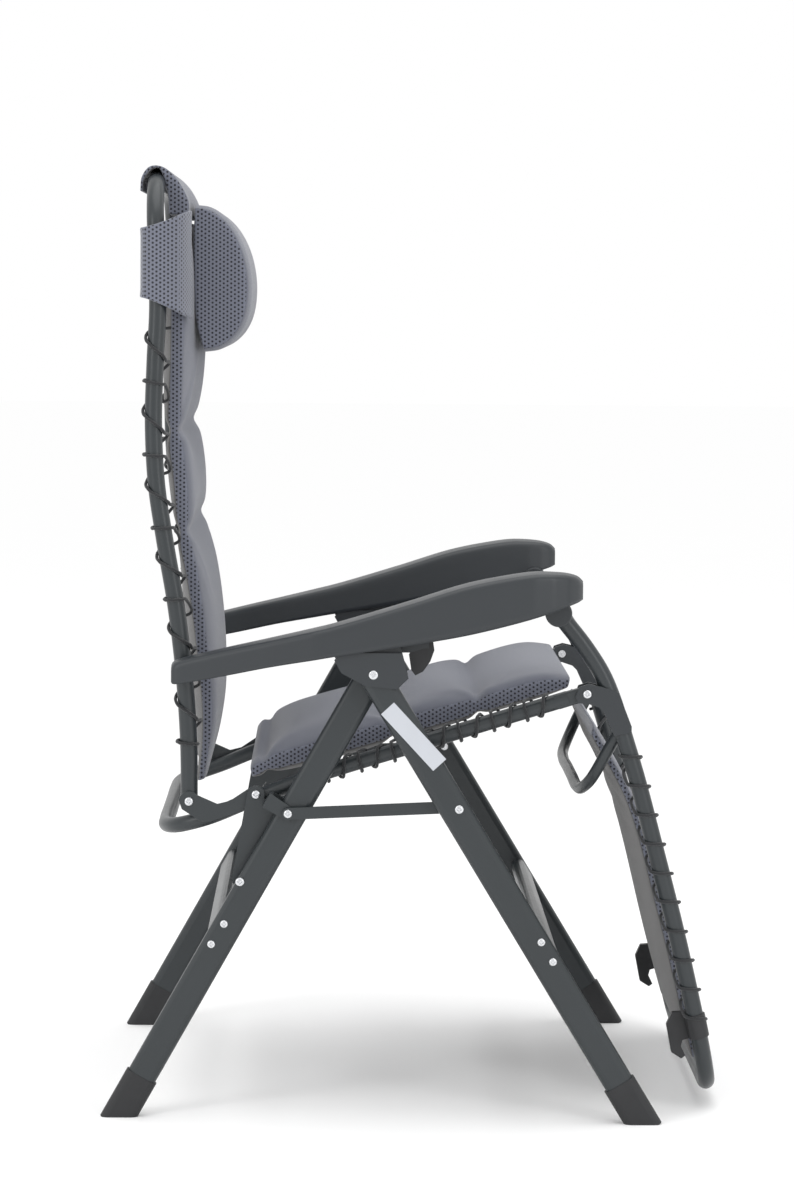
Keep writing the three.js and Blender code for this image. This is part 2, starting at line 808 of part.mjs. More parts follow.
const BACK_PAD = [
  [-262, 424, -273, 420],
  [-252, 520, -270, 520],
  [-258, 650, -284, 648],
  [-275, 745, -302, 740],
  [-276, 790, -309, 795],
  [-288, 862, -317, 864],
  [-286, 960, -314, 960],
  [-286, 1060, -314, 1060],
  [-290, 1136, -316, 1134],
];
const SEAT_PAD = [
  [-206, 438, -203, 424],
  [-186, 461, -182, 428],
  [-120, 482, -112, 446],
  [5, 519, 13, 482],
  [90, 543, 98, 508],
  [165, 561, 171, 531],
  [204, 558, 200, 542],
];
const FOOT_PAD = [
  [234, 498, 230, 482],
  [289, 400, 274, 396],
  [330, 262, 314, 258],
  [365, 120, 349, 116],
  [377, 66, 364, 63],
];

const HOOD_HALF_WIDTH = 196;
const PILLOW_HALF_WIDTH = 180;

// The end of the sling folded over the back's top tube.
function hoodSolid() {
  const outline = [
    [-345, 1200],
    [-330, 1205],
    [-304, 1190],
    [-290, 1166],
    [-290, 1142],
    [-314, 1142],
    [-314, 1176],
    [-344, 1176],
  ];
  return cut(plate(outline, [-HOOD_HALF_WIDTH, HOOD_HALF_WIDTH]), backTube(TUBE_RADIUS + 1.4));
}

function pillowSolid() {
  const shape = new THREE.Shape();
  shape.moveTo(-281, 1156);
  shape.bezierCurveTo(-226, 1150, -206, 1090, -208, 1042);
  shape.bezierCurveTo(-212, 1000, -240, 968, -268, 968);
  shape.bezierCurveTo(-284, 1030, -284, 1100, -281, 1156);
  return plate(shape, [-PILLOW_HALF_WIDTH, PILLOW_HALF_WIDTH]);
}

// The elastic strap lies on the outside of the back tubes and behind the back pad.
function strapSolid() {
  const low = 1012;
  const high = 1110;
  const outline = new THREE.Shape();
  const route = [
    [-284, -262],
    [-300, -274],
    [-340, -274],
    [-346, -262],
    [-346, 262],
    [-340, 274],
    [-300, 274],
    [-284, 262],
  ];
  outline.moveTo(route[0][0], route[0][1]);
  route.slice(1).forEach(([x, y]) => outline.lineTo(x, y));
  const inner = [
    [-284, 258.5],
    [-301, 271],
    [-338, 271],
    [-343, 261],
    [-343, -261],
    [-338, -271],
    [-301, -271],
    [-284, -258.5],
  ];
  inner.forEach(([x, y]) => outline.lineTo(x, y));
  const geometry = new THREE.ExtrudeGeometry(outline, { depth: high - low, bevelEnabled: false });
  geometry.translate(0, 0, low);
  return geometry;
}

function makeSling() {
  add("back_pad", padSolid(pad(BACK_PAD, PAD_HALF_WIDTH)), FABRIC);
  add("seat_pad", padSolid(pad(SEAT_PAD, PAD_HALF_WIDTH)), FABRIC);
  add("foot_fabric", padSolid(pad(FOOT_PAD, PAD_HALF_WIDTH)), FABRIC);
  add("top_hood", hoodSolid(), FABRIC);
  add("head_pillow", pillowSolid(), FABRIC);
  add("pillow_strap", strapSolid(), FABRIC);
}

// ---------------------------------------------------------------- elastic lacing
const LACE_STEPS_PER_TURN = 6;
const LACE_CLEARANCE = 0.6;

// A cord wound round a straight or curved rail given as side view points.
function lacing(railPoints, tubeRadius, turns, side) {
  const rail = new THREE.CatmullRomCurve3(
    railPoints.map(([x, z]) => new THREE.Vector3(x, side * FRAME_Y, z)),
    false,
    "centripetal",
  );
  const steps = turns * LACE_STEPS_PER_TURN;
  const radius = (tubeRadius + CORD_RADIUS + LACE_CLEARANCE) / Math.cos(Math.PI / LACE_STEPS_PER_TURN);
  const yAxis = new THREE.Vector3(0, 1, 0);
  const route = [];
  for (let i = 0; i <= steps; i++) {
    const share = i / steps;
    const centre = rail.getPointAt(share);
    const outward = new THREE.Vector3().crossVectors(rail.getTangentAt(share), yAxis).normalize();
    const angle = (2 * Math.PI * i) / LACE_STEPS_PER_TURN;
    centre.addScaledVector(outward, radius * Math.sin(angle));
    centre.addScaledVector(yAxis, -side * radius * Math.cos(angle));
    route.push(centre);
  }
  return cordSolid(route);
}

// A thin four-sided cord through every point of its route.
function cordSolid(route) {
  const sides = 4;
  const rings = route.map((point, i) => {
    const ahead = route[Math.min(i + 1, route.length - 1)];
    const behind = route[Math.max(i - 1, 0)];
    const tangent = new THREE.Vector3().subVectors(ahead, behind).normalize();
    const first = new THREE.Vector3(0.31, 0.17, 0.93).cross(tangent).normalize();
    const second = new THREE.Vector3().crossVectors(tangent, first);
    return Array.from({ length: sides }, (_, k) => {
      const a = (2 * Math.PI * k) / sides;
      return point
        .clone()
        .addScaledVector(first, CORD_RADIUS * Math.cos(a))
        .addScaledVector(second, CORD_RADIUS * Math.sin(a));
    });
  });
  return toSolid(loft(rings));
}

const BACK_LACE_RAIL = [
  [-293, 598],
  [-300, 650],
  [-314, 730],
  [-325, 803],
  [-329, 880],
  [-327, 958],
  [-325, 1000],
];
const SEAT_LACE_RAIL = [
  [-118, 434.5],
  [0, 472],
  [140, 516],
  [176, 527.5],
];
const FOOT_LACE_RAIL = [
  [273, 478],
  [288, 430],
  [310, 350],
  [338, 245],
  [362, 145],
  [371, 105],
];

function makeLacing() {
  eachSide((label, side) => {
    add("back_lacing_" + label, lacing(BACK_LACE_RAIL, TUBE_RADIUS, 8, side), BLACK);
    add("seat_lacing_" + label, lacing(SEAT_LACE_RAIL, TUBE_RADIUS - 1, 8, side), BLACK);
    add("foot_lacing_" + label, lacing(FOOT_LACE_RAIL, TUBE_RADIUS, 11, side), BLACK);
  });
}

makeLegs();
makeBrackets();
makeLinks();
makeFrames();
makeArmrests();
makeSling();
makeLacing();

chair.position.x = -FORWARD_SHIFT;

export default chair;
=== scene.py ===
"""A zero gravity recliner: finished tubes, mouldings, padding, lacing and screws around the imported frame.

Route points and outlines are in the CAD's millimetres, seen from the side as x (forward) and z (up),
and place() turns them into metres in the frame. Side -1 is the sitter's right, side 1 the left.
"""

import math

import bmesh
import bpy
import numpy as np
from mathutils import Matrix, Vector


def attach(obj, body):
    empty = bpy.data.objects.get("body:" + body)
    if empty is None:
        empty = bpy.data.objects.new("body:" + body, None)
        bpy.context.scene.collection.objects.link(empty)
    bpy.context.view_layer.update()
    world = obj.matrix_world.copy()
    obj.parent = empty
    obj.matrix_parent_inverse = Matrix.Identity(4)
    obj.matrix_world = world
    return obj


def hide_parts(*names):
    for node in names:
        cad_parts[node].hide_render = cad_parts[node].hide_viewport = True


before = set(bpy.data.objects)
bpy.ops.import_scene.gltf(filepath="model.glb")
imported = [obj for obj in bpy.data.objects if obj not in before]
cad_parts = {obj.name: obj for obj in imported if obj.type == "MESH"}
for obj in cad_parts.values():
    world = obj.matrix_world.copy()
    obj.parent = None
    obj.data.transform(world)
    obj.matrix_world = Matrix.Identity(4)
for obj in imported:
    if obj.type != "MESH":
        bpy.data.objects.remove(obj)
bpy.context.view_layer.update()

MM = 0.001
FORWARD_SHIFT = 3.8
SIDES = (("right", -1), ("left", 1))

# Layers across the chair in millimetres, as distances from its middle plane.
FRAME_Y = 258
REAR_LEG_FACE = 300
FRONT_LEG_FACE = 329
TUBE_RADIUS = 11
SEAT_TUBE_RADIUS = 10
CORD_RADIUS = 2.1
PAD_HALF_WIDTH = 226
PILLOW_HALF_WIDTH = 180
HOOD_HALF_WIDTH = 196

# Pivot centres, seen from the side.
BACK_PIVOT = (-282, 401)
SEAT_PIVOT = (-197, 411)
CRANK_PIVOT = (-216, 303)
ARM_REAR_PIVOT = (-288, 565)
ARM_FRONT_PIVOT = (184, 644)
FOOT_PIVOT = (222, 541)
LEG_TOP_PIVOT = (-50, 570)
STRUT_REAR_PIVOT = (-156, 391)
STRUT_FRONT_PIVOT = (59, 401)


def place(x, y, z):
    """A point given in the CAD's millimetres, in metres in the frame."""
    return Vector(((x - FORWARD_SHIFT) * MM, y * MM, z * MM))


# ------------------------------------------------------------------ materials
# A face counts as facing sideways or upward when its normal has more than this much of that direction.
SIDEWAYS_SHARE = 0.6
UPWARD_SHARE = 0.7


class Shader:
    """A Principled material with short helpers for the nodes that feed it."""

    def __init__(self, name, color, roughness, metallic=0.0):
        self.material = bpy.data.materials.new(name)
        self.material.use_nodes = True
        self.tree = self.material.node_tree
        self.shader = self.tree.nodes["Principled BSDF"]
        self.shader.inputs["Base Color"].default_value = (*color, 1)
        self.shader.inputs["Roughness"].default_value = roughness
        self.shader.inputs["Metallic"].default_value = metallic
        self.coordinates = self.node("ShaderNodeTexCoord")

    def node(self, kind, **settings):
        made = self.tree.nodes.new(kind)
        for key, value in settings.items():
            setattr(made, key, value)
        return made

    def link(self, source, target):
        self.tree.links.new(source, target)

    def math(self, operation, first, second=None):
        node = self.node("ShaderNodeMath", operation=operation)
        for socket, value in zip(node.inputs, (first, second)):
            if value is None:
                continue
            if isinstance(value, (int, float)):
                socket.default_value = value
            else:
                self.link(value, socket)
        return node.outputs[0]

    def noise(self, scale, detail=4.0):
        node = self.node("ShaderNodeTexNoise")
        node.inputs["Scale"].default_value = scale
        node.inputs["Detail"].default_value = detail
        self.link(self.coordinates.outputs["Object"], node.inputs["Vector"])
        return node.outputs["Fac"]

    def spread(self, value, low, high):
        """value, which runs from 0 to 1, stretched to run from low to high."""
        node = self.node("ShaderNodeMapRange")
        node.inputs["To Min"].default_value = low
        node.inputs["To Max"].default_value = high
        self.link(value, node.inputs["Value"])
        return node.outputs[0]

    def tint(self, factor, dark, light):
        """Runs the base colour between two shades as factor goes from 0 to 1."""
        node = self.node("ShaderNodeMix", data_type="RGBA")
        node.inputs["A"].default_value = (*dark, 1)
        node.inputs["B"].default_value = (*light, 1)
        self.link(factor, node.inputs["Factor"])
        self.link(node.outputs["Result"], self.shader.inputs["Base Color"])

    def rough(self, factor, low, high):
        self.link(self.spread(factor, low, high), self.shader.inputs["Roughness"])

    def bump(self, height, distance, strength=0.6):
        node = self.node("ShaderNodeBump")
        node.inputs["Distance"].default_value = distance
        node.inputs["Strength"].default_value = strength
        self.link(height, node.inputs["Height"])
        self.link(node.outputs["Normal"], self.shader.inputs["Normal"])

    def face_plane(self):
        """The two coordinates along a surface, picked by the way that it faces."""
        facing = self.node("ShaderNodeSeparateXYZ")
        self.link(self.coordinates.outputs["Normal"], facing.inputs[0])
        where = self.node("ShaderNodeSeparateXYZ")
        self.link(self.coordinates.outputs["Object"], where.inputs[0])
        x, y, z = where.outputs
        sideways = self.math("GREATER_THAN", self.math("ABSOLUTE", facing.outputs[1]), SIDEWAYS_SHARE)
        upward = self.math("GREATER_THAN", self.math("ABSOLUTE", facing.outputs[2]), UPWARD_SHARE)
        across = self.pick(sideways, y, x)
        along = self.pick(upward, z, x)
        return across, self.pick(sideways, along, z)

    def pick(self, switch, when_off, when_on):
        node = self.node("ShaderNodeMix", data_type="FLOAT")
        self.link(switch, node.inputs["Factor"])
        self.link(when_off, node.inputs["A"])
        self.link(when_on, node.inputs["B"])
        return node.outputs["Result"]

    def waves(self, across, along, directions, pitch):
        """The sum of waves of one pitch in several directions, from 0 to 1."""
        total = None
        for degrees in directions:
            angle = math.radians(degrees)
            part = self.math(
                "ADD",
                self.math("MULTIPLY", across, math.cos(angle) * 2 * math.pi / pitch),
                self.math("MULTIPLY", along, math.sin(angle) * 2 * math.pi / pitch),
            )
            wave = self.math("COSINE", part)
            total = wave if total is None else self.math("ADD", total, wave)
        count = len(directions)
        node = self.node("ShaderNodeMapRange")
        node.inputs["From Min"].default_value = -count / 2
        node.inputs["From Max"].default_value = count
        self.link(total, node.inputs["Value"])
        return node.outputs[0]


def shade(color, factor):
    """A colour made darker (below 1) or lighter (above 1)."""
    return tuple(channel * factor for channel in color)


def frame_paint():
    """Satin anthracite powder coat with a fine orange peel."""
    color = (0.022, 0.027, 0.030)
    paint = Shader("frame_paint", color, 0.36, 0.1)
    paint.shader.inputs["Coat Weight"].default_value = 0.1
    paint.shader.inputs["Coat Roughness"].default_value = 0.22
    paint.tint(paint.noise(9.0), shade(color, 0.9), shade(color, 1.14))
    paint.rough(paint.noise(60.0), 0.31, 0.42)
    paint.bump(paint.noise(900.0, 2.0), 0.00025, 0.22)
    return paint.material


def moulded_plastic():
    """Slightly glossy moulded plastic with a fine grain."""
    color = (0.022, 0.026, 0.030)
    plastic = Shader("moulded_plastic", color, 0.4)
    plastic.tint(plastic.noise(6.0), shade(color, 0.93), shade(color, 1.1))
    plastic.rough(plastic.noise(35.0), 0.34, 0.46)
    plastic.bump(plastic.noise(1400.0, 2.0), 0.0002, 0.3)
    return plastic.material


def black_plastic():
    """Dull black plastic, as the foot caps, levers and clips have."""
    color = (0.012, 0.0125, 0.014)
    plastic = Shader("black_plastic", color, 0.5)
    plastic.tint(plastic.noise(20.0), shade(color, 0.8), shade(color, 1.5))
    plastic.rough(plastic.noise(70.0), 0.42, 0.6)
    plastic.bump(plastic.noise(1100.0, 2.0), 0.00025, 0.35)
    return plastic.material


def zinc():
    """Bright plated steel."""
    color = (0.72, 0.73, 0.75)
    metal = Shader("zinc", color, 0.25, 1.0)
    metal.tint(metal.noise(300.0), shade(color, 0.82), shade(color, 1.1))
    metal.rough(metal.noise(500.0), 0.18, 0.36)
    metal.bump(metal.noise(1500.0, 2.0), 0.0001, 0.25)
    return metal.material


WEAVE_PITCH = 0.0017


def woven(name, color, depth=0.9):
    """Close-woven cover cloth with a soft sheen."""
    cloth = Shader(name, color, 0.88)
    cloth.shader.inputs["Sheen Weight"].default_value = 0.35
    cloth.shader.inputs["Sheen Roughness"].default_value = 0.5
    across, along = cloth.face_plane()
    weave = cloth.waves(across, along, (45, 135), WEAVE_PITCH)
    mottle = cloth.noise(70.0, 6.0)
    both = cloth.math("ADD", cloth.math("MULTIPLY", weave, 0.55), cloth.math("MULTIPLY", mottle, 0.45))
    cloth.tint(both, shade(color, 0.72), shade(color, 1.22))
    cloth.bump(weave, 0.0005, 0.5 * depth)
    return cloth.material


MESH_PITCH = 0.0055
MESH_ROW_SHARE = 0.866


def spacer_mesh():
    """Three-dimensional spacer mesh: a light net with rows of holes, painted dark with the shade inside them.
    """
    color = (0.135, 0.145, 0.185)
    # Painted shade: the holes' near-black colour stands for the shade deep inside them.
    hole_shade_color = (0.012, 0.012, 0.02)
    net = Shader("spacer_mesh", color, 0.8)
    net.shader.inputs["Sheen Weight"].default_value = 0.3
    across, along = net.face_plane()
    holes = net.waves(across, along, (0, 60, 120), MESH_PITCH * MESH_ROW_SHARE)
    ramp = net.node("ShaderNodeMapRange", interpolation_type="SMOOTHSTEP")
    ramp.inputs["From Min"].default_value = 0.42
    ramp.inputs["From Max"].default_value = 0.62
    net.link(holes, ramp.inputs["Value"])
    hole = ramp.outputs[0]
    # The holes are tinted with the painted shade colour.
    net.tint(hole, color, hole_shade_color)
    net.bump(net.math("SUBTRACT", 1.0, hole), 0.0012, 0.8)
    return net.material


BRAID_PITCH = 0.0016


def elastic_cord():
    """Dark braided elastic."""
    color = (0.011, 0.012, 0.014)
    cord = Shader("elastic_cord", color, 0.75)
    cord.shader.inputs["Sheen Weight"].default_value = 0.2
    across, along = cord.face_plane()
    braid = cord.waves(across, along, (30, 150), BRAID_PITCH)
    cord.tint(braid, shade(color, 0.6), shade(color, 2.2))
    cord.bump(braid, 0.0004, 0.6)
    return cord.material


def thread():
    """Sewing thread in the colour of the cover."""
    color = (0.10, 0.108, 0.135)
    yarn = Shader("thread", color, 0.8)
    yarn.tint(yarn.noise(900.0), shade(color, 0.7), shade(color, 1.3))
    yarn.bump(yarn.noise(2500.0), 0.0002, 0.5)
    return yarn.material


def label_film():
    """A plain glossy label with nothing printed on it."""
    color = (0.50, 0.52, 0.56)
    film = Shader("label_film", color, 0.3)
    film.tint(film.noise(25.0), shade(color, 0.94), shade(color, 1.03))
    film.bump(film.noise(120.0), 0.0002, 0.15)
    return film.material


def floor_paint():
    """A white floor with no shine."""
    color = (0.99, 0.99, 0.99)
    floor = Shader("floor_paint", color, 0.9)
    floor.shader.inputs["Specular IOR Level"].default_value = 0.0
    floor.tint(floor.noise(1.5), shade(color, 0.998), color)
    return floor.material


PAINT = frame_paint()
PLASTIC = moulded_plastic()
BLACK = black_plastic()
ZINC = zinc()
COVER = woven("pad_fabric", (0.108, 0.116, 0.150))
# Painted shade: a near-black copy of the cover cloth for the back and lower faces, which face away from the
# light.
SHADED_UNDERSIDE = woven("shaded_underside_fabric", (0.017, 0.015, 0.015), 0.6)
NET = spacer_mesh()
CORD = elastic_cord()
THREAD = thread()
LABEL = label_film()


# ------------------------------------------------------------------ mesh helpers
EDGE_ANGLE = 30
START_DIRECTION = (0.31, 0.17, 0.93)


def make(name, points, faces, *materials):
    """A smooth mesh object with its faces turned outwards."""
    mesh = bpy.data.meshes.new(name)
    mesh.from_pydata([tuple(p) for p in points], [], faces)
    turned = bmesh.new()
    turned.from_mesh(mesh)
    bmesh.ops.recalc_face_normals(turned, faces=turned.faces)
    turned.to_mesh(mesh)
    turned.free()
    for material in materials:
        mesh.materials.append(material)
    mesh.shade_smooth()
    piece = bpy.data.objects.new(name, mesh)
    bpy.context.scene.collection.objects.link(piece)
    return piece


def crease(piece, degrees):
    """Keeps the edges sharp where faces meet at more than this angle."""
    piece.data.set_sharp_from_angle(angle=math.radians(degrees))


def finish(piece, body, slot, *nodes):
    """Hangs a piece on its body and hides the CAD nodes it stands for; slot is not used."""
    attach(piece, body)
    if nodes:
        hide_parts(*nodes)


def points_of(piece):
    flat = np.empty(len(piece.data.vertices) * 3)
    piece.data.vertices.foreach_get("co", flat)
    return flat.reshape(-1, 3)


def set_points(piece, points):
    piece.data.vertices.foreach_set("co", np.asarray(points, float).ravel())
    piece.data.update()


def smooth_path(points, step):
    """Evenly spaced points along a centripetal Catmull-Rom curve, the curve that the CAD tubes follow."""
    knots = np.array([tuple(p) for p in points], float)
    padded = np.vstack([2 * knots[0] - knots[1], knots, 2 * knots[-1] - knots[-2]])
    dense = []
    for a, b, c, d in zip(padded, padded[1:], padded[2:], padded[3:]):
        t1 = np.linalg.norm(b - a) ** 0.5
        t2 = t1 + np.linalg.norm(c - b) ** 0.5
        t3 = t2 + np.linalg.norm(d - c) ** 0.5
        for t in np.linspace(t1, t2, 20, endpoint=False):
            ab = a + (b - a) * t / t1
            bc = b + (c - b) * (t - t1) / (t2 - t1)
            cd = c + (d - c) * (t - t2) / (t3 - t2)
            abc = ab + (bc - ab) * t / t2
            bcd = bc + (cd - bc) * (t - t1) / (t3 - t1)
            dense.append(abc + (bcd - abc) * (t - t1) / (t2 - t1))
    dense.append(knots[-1])
    return even(np.array(dense), step)


def even(path, step):
    """The same path with its points spaced evenly, about step apart."""
    lengths = np.concatenate([[0], np.cumsum(np.linalg.norm(np.diff(path, axis=0), axis=1))])
    count = max(2, round(lengths[-1] / step) + 1)
    marks = np.linspace(0, lengths[-1], count)
    return np.stack([np.interp(marks, lengths, path[:, k]) for k in range(3)], axis=1)


def frames_along(path):
    """Tangent and two side directions at each point, turned as little as possible.

    The first side direction comes from START_DIRECTION, which no rail starts along.
    """
    tangents = np.gradient(path, axis=0)
    tangents /= np.linalg.norm(tangents, axis=1)[:, None]
    first = np.cross(tangents[0], START_DIRECTION)
    sides = []
    for tangent in tangents:
        first = first - tangent * np.dot(first, tangent)
        first = first / np.linalg.norm(first)
        sides.append((first, np.cross(tangent, first)))
    return tangents, sides


def tube(name, path, radius, material, sides):
    """A round bar along a path, closed at both ends."""
    points = []
    _, directions = frames_along(path)
    for centre, (first, second) in zip(path, directions):
        for k in range(sides):
            angle = 2 * math.pi * k / sides
            points.append(centre + radius * (first * math.cos(angle) + second * math.sin(angle)))
    faces = []
    for ring in range(len(path) - 1):
        for k in range(sides):
            a = ring * sides + k
            b = ring * sides + (k + 1) % sides
            faces.append((a, b, b + sides, a + sides))
    faces.append(tuple(range(sides)))
    faces.append(tuple(range(len(points) - sides, len(points))))
    piece = make(name, points, faces, material)
    crease(piece, 50)
    return piece


def plate(name, outline, low, high, material, bevel):
    """A flat part whose outline is drawn from the side, between two distances across the chair."""
    count = len(outline)
    points = [place(x, low, z) for x, z in outline] + [place(x, high, z) for x, z in outline]
    faces = [tuple(range(count)), tuple(range(2 * count - 1, count - 1, -1))]
    for k in range(count):
        after = (k + 1) % count
        faces.append((k, after, after + count, k + count))
    piece = make(name, points, faces, material)
    round_edges(piece, bevel)
    return piece


def round_edges(piece, width):
    """Small rounded edges, as moulded and pressed parts have."""
    bevel = piece.modifiers.new("edge", "BEVEL")
    bevel.width = width * MM
    bevel.segments = 3
    bevel.limit_method = "ANGLE"
    bevel.angle_limit = math.radians(EDGE_ANGLE)
    bevel.harden_normals = False
    piece.data.shade_smooth()
    crease(piece, EDGE_ANGLE)


def arc(centre, radius, start, end, steps=8):
    """Side view points on an arc, from one angle in degrees to another."""
    angles = np.radians(np.linspace(start, end, steps + 1))
    return [(centre[0] + radius * math.cos(a), centre[1] + radius * math.sin(a)) for a in angles]


def merge(name, pieces):
    """Several meshes made into one piece."""
    joined = bmesh.new()
    materials = []
    for piece in pieces:
        for material in piece.data.materials:
            if material not in materials:
                materials.append(material)
    for piece in pieces:
        first = len(joined.faces)
        joined.from_mesh(piece.data)
        joined.faces.ensure_lookup_table()
        slots = [materials.index(m) for m in piece.data.materials]
        for face in joined.faces[first:]:
            face.material_index = slots[face.material_index]
        bpy.data.objects.remove(piece)
    mesh = bpy.data.meshes.new(name)
    joined.to_mesh(mesh)
    joined.free()
    for material in materials:
        mesh.materials.append(material)
    whole = bpy.data.objects.new(name, mesh)
    bpy.context.scene.collection.objects.link(whole)
    return whole


# ------------------------------------------------------------------ camera, light and floor
CAMERA_AT = (-0.1021, -4.785, 1.0422)
CAMERA_DIP = 4.85
CAMERA_TURN = -0.99
CAMERA_ROLL = 0.5
FLOOR_REACH = 30


def make_camera():
    """A long lens looking across the chair from its right side, a little from above."""
    data = bpy.data.cameras.new("camera")
    data.sensor_fit = "VERTICAL"
    data.sensor_height = 36
    data.lens = 107.6
    camera = bpy.data.objects.new("camera", data)
    bpy.context.scene.collection.objects.link(camera)
    tilt = Matrix.Rotation(math.radians(90 - CAMERA_DIP), 4, "X")
    turn = Matrix.Rotation(math.radians(CAMERA_TURN), 4, "Z")
    roll = Matrix.Rotation(math.radians(CAMERA_ROLL), 4, "Z")
    camera.matrix_world = Matrix.Translation(CAMERA_AT) @ turn @ tilt @ roll
    bpy.context.scene.camera = camera


def softbox(name, place_at, aim, size, watts):
    """A rectangular area light turned towards a point."""
    data = bpy.data.lights.new(name, "AREA")
    data.shape = "RECTANGLE"
    data.size, data.size_y = size
    data.energy = watts
    lamp = bpy.data.objects.new(name, data)
    bpy.context.scene.collection.objects.link(lamp)
    lamp.location = place_at
    lamp.rotation_euler = (Vector(aim) - Vector(place_at)).to_track_quat("-Z", "Y").to_euler()


def make_studio():
    """A pale floor under soft light from above and from both sides of the camera."""
    corners = [(FLOOR_REACH * x, FLOOR_REACH * y, 0) for x, y in ((-1, -1), (1, -1), (1, 1), (-1, 1))]
    floor = make("floor", corners, [(0, 1, 2, 3)], floor_paint())
    world = bpy.data.worlds.new("studio")
    world.use_nodes = True
    world.node_tree.nodes["Background"].inputs["Color"].default_value = (1, 1, 1, 1)
    world.node_tree.nodes["Background"].inputs["Strength"].default_value = 1.0
    bpy.context.scene.world = world
    middle = (0, 0, 0.6)
    softbox("light_top", (0.2, -0.3, 3.4), middle, (3.0, 2.4), 34)
    softbox("light_left", (-2.6, -2.6, 1.9), middle, (0.9, 2.2), 24)
    softbox("light_right", (2.3, -3.0, 1.7), middle, (0.8, 2.2), 20)
    bpy.context.scene.view_settings.view_transform = "Standard"


# ------------------------------------------------------------------ frame tubes
BACK_RAIL = [
    (-282, 258, 393),
    (-283, 258, 471),
    (-289, 258, 560),
    (-300, 258, 650),
    (-314, 258, 730),
    (-325, 258, 803),
    (-329, 258, 880),
    (-327, 258, 958),
    (-324, 258, 1024),
    (-326, 258, 1095),
    (-328, 246, 1146),
    (-329, 210, 1178),
    (-330, 148, 1187),
    (-330, 70, 1188),
]
SEAT_RAIL = [
    (198, 258, 534),
    (140, 258, 516),
    (0, 258, 472),
    (-120, 258, 434),
    (-205, 258, 401),
    (-255, 257, 380),
    (-292, 244, 368),
    (-311, 208, 362),
    (-315, 143, 360),
    (-315, 60, 360),
]
FOOT_RAIL = [
    (178, 258, 651),
    (196, 258, 629),
    (219, 258, 600),
    (241, 258, 566),
    (255, 258, 534),
    (268, 258, 494),
    (288, 258, 430),
    (310, 258, 350),
    (338, 258, 245),
    (362, 258, 145),
    (376, 254, 82),
    (384, 234, 44),
    (388, 192, 28),
    (389, 128, 26),
    (389, 50, 26),
]
LOOP_RAIL = [
    (268, 256, 497),
    (257, 245, 477),
    (246, 240, 456),
    (232, 226, 428),
    (222, 192, 411),
    (219, 138, 406),
    (219, 50, 406),
]
LOOP_RADIUS = 7.5
REAR_PLATE_LAYER = (269.6, 272.4)
RAIL_END_LAYER = (250, 266)


def both_sides(rail):
    """A rail of one side joined to its mirror image across the middle."""
    right = [place(x, -y, z) for x, y, z in rail]
    left = [place(x, y, z) for x, y, z in reversed(rail)]
    return right + left


def frame_tube(name, rail, radius, body, node):
    """A bent tube that runs down one side, across the middle and up the other."""
    piece = tube(name, smooth_path(both_sides(rail), 0.007), radius * MM, PAINT, 24)
    finish(piece, body, "frame_paint", node)


def rear_plate(name, side):
    """The V-shaped plate from the back pivot along the rail to the seat pivot."""
    outline = [
        *arc(BACK_PIVOT, 13, 175, 40),
        (-246, 398),
        (-230, 402),
        *arc(SEAT_PIVOT, 11, 120, -80),
        (-216, 389),
        (-255, 375),
        (-268, 376),
        (-291, 391),
    ]
    low, high = REAR_PLATE_LAYER
    return plate(name, outline, side * low, side * high, PAINT, 0.6)


def rail_end(name, side):
    """The flattened front end of a seat rail, with a plug in its mouth."""
    outline = [*arc(FOOT_PIVOT, 9, 107, -73), *arc((186, 530), 9.5, -73, -253)]
    low, high = RAIL_END_LAYER
    return plate(name, outline, side * low, side * high, PAINT, 3)


def make_frame_tubes():
    frame_tube("back_tube", BACK_RAIL, TUBE_RADIUS, "back", "back_frame")
    frame_tube("foot_tube", FOOT_RAIL, TUBE_RADIUS, "footrest", "foot_frame")
    frame_tube("front_loop_tube", LOOP_RAIL, LOOP_RADIUS, "footrest", "loop_bar")
    frame_tube("seat_tube", SEAT_RAIL, SEAT_TUBE_RADIUS, "seat", "seat_frame")
    for label, side in SIDES:
        finish(rear_plate("rear_plate_" + label, side), "seat", "frame_paint")
        finish(rail_end("rail_end_" + label, side), "seat", "frame_paint")


# ------------------------------------------------------------------ screws and pins
# The cross recess: half width and reach as shares of the head's radius, and its floor as one of the height.
SLOT_HALF_WIDTH = 0.15
SLOT_REACH = 0.56
SLOT_FLOOR = 0.45


def screw_head(name, centre, across, outward, radius, height):
    """A pan head with a cross recess, facing outward (-1 or 1 along Y)."""
    rings = 12
    spokes = 32
    points = [place(centre[0], across + outward * height * SLOT_FLOOR, centre[1])]
    for ring in range(1, rings + 1):
        share = ring / rings
        for spoke in range(spokes):
            angle = 2 * math.pi * spoke / spokes
            u = share * math.cos(angle)
            v = share * math.sin(angle)
            rise = height * (1 - share**5) ** 0.6
            in_slot = min(abs(u), abs(v)) < SLOT_HALF_WIDTH and max(abs(u), abs(v)) < SLOT_REACH
            if in_slot:
                rise *= SLOT_FLOOR
            points.append(place(centre[0] + radius * u, across + outward * rise, centre[1] + radius * v))
    faces = [(0, 1 + k, 1 + (k + 1) % spokes) for k in range(spokes)]
    for ring in range(rings - 1):
        for k in range(spokes):
            a = 1 + ring * spokes + k
            b = 1 + ring * spokes + (k + 1) % spokes
            faces.append((a, b, b + spokes, a + spokes))
    faces.append(tuple(range(len(points) - spokes, len(points))))
    piece = make(name, points, faces, ZINC)
    crease(piece, 40)
    return piece


def shank(name, centre, low, high, radius):
    """A round bar across the chair, between two distances from its middle plane."""
    path = np.array([tuple(place(centre[0], low, centre[1])), tuple(place(centre[0], high, centre[1]))])
    return tube(name, path, radius * MM, ZINC, 16)


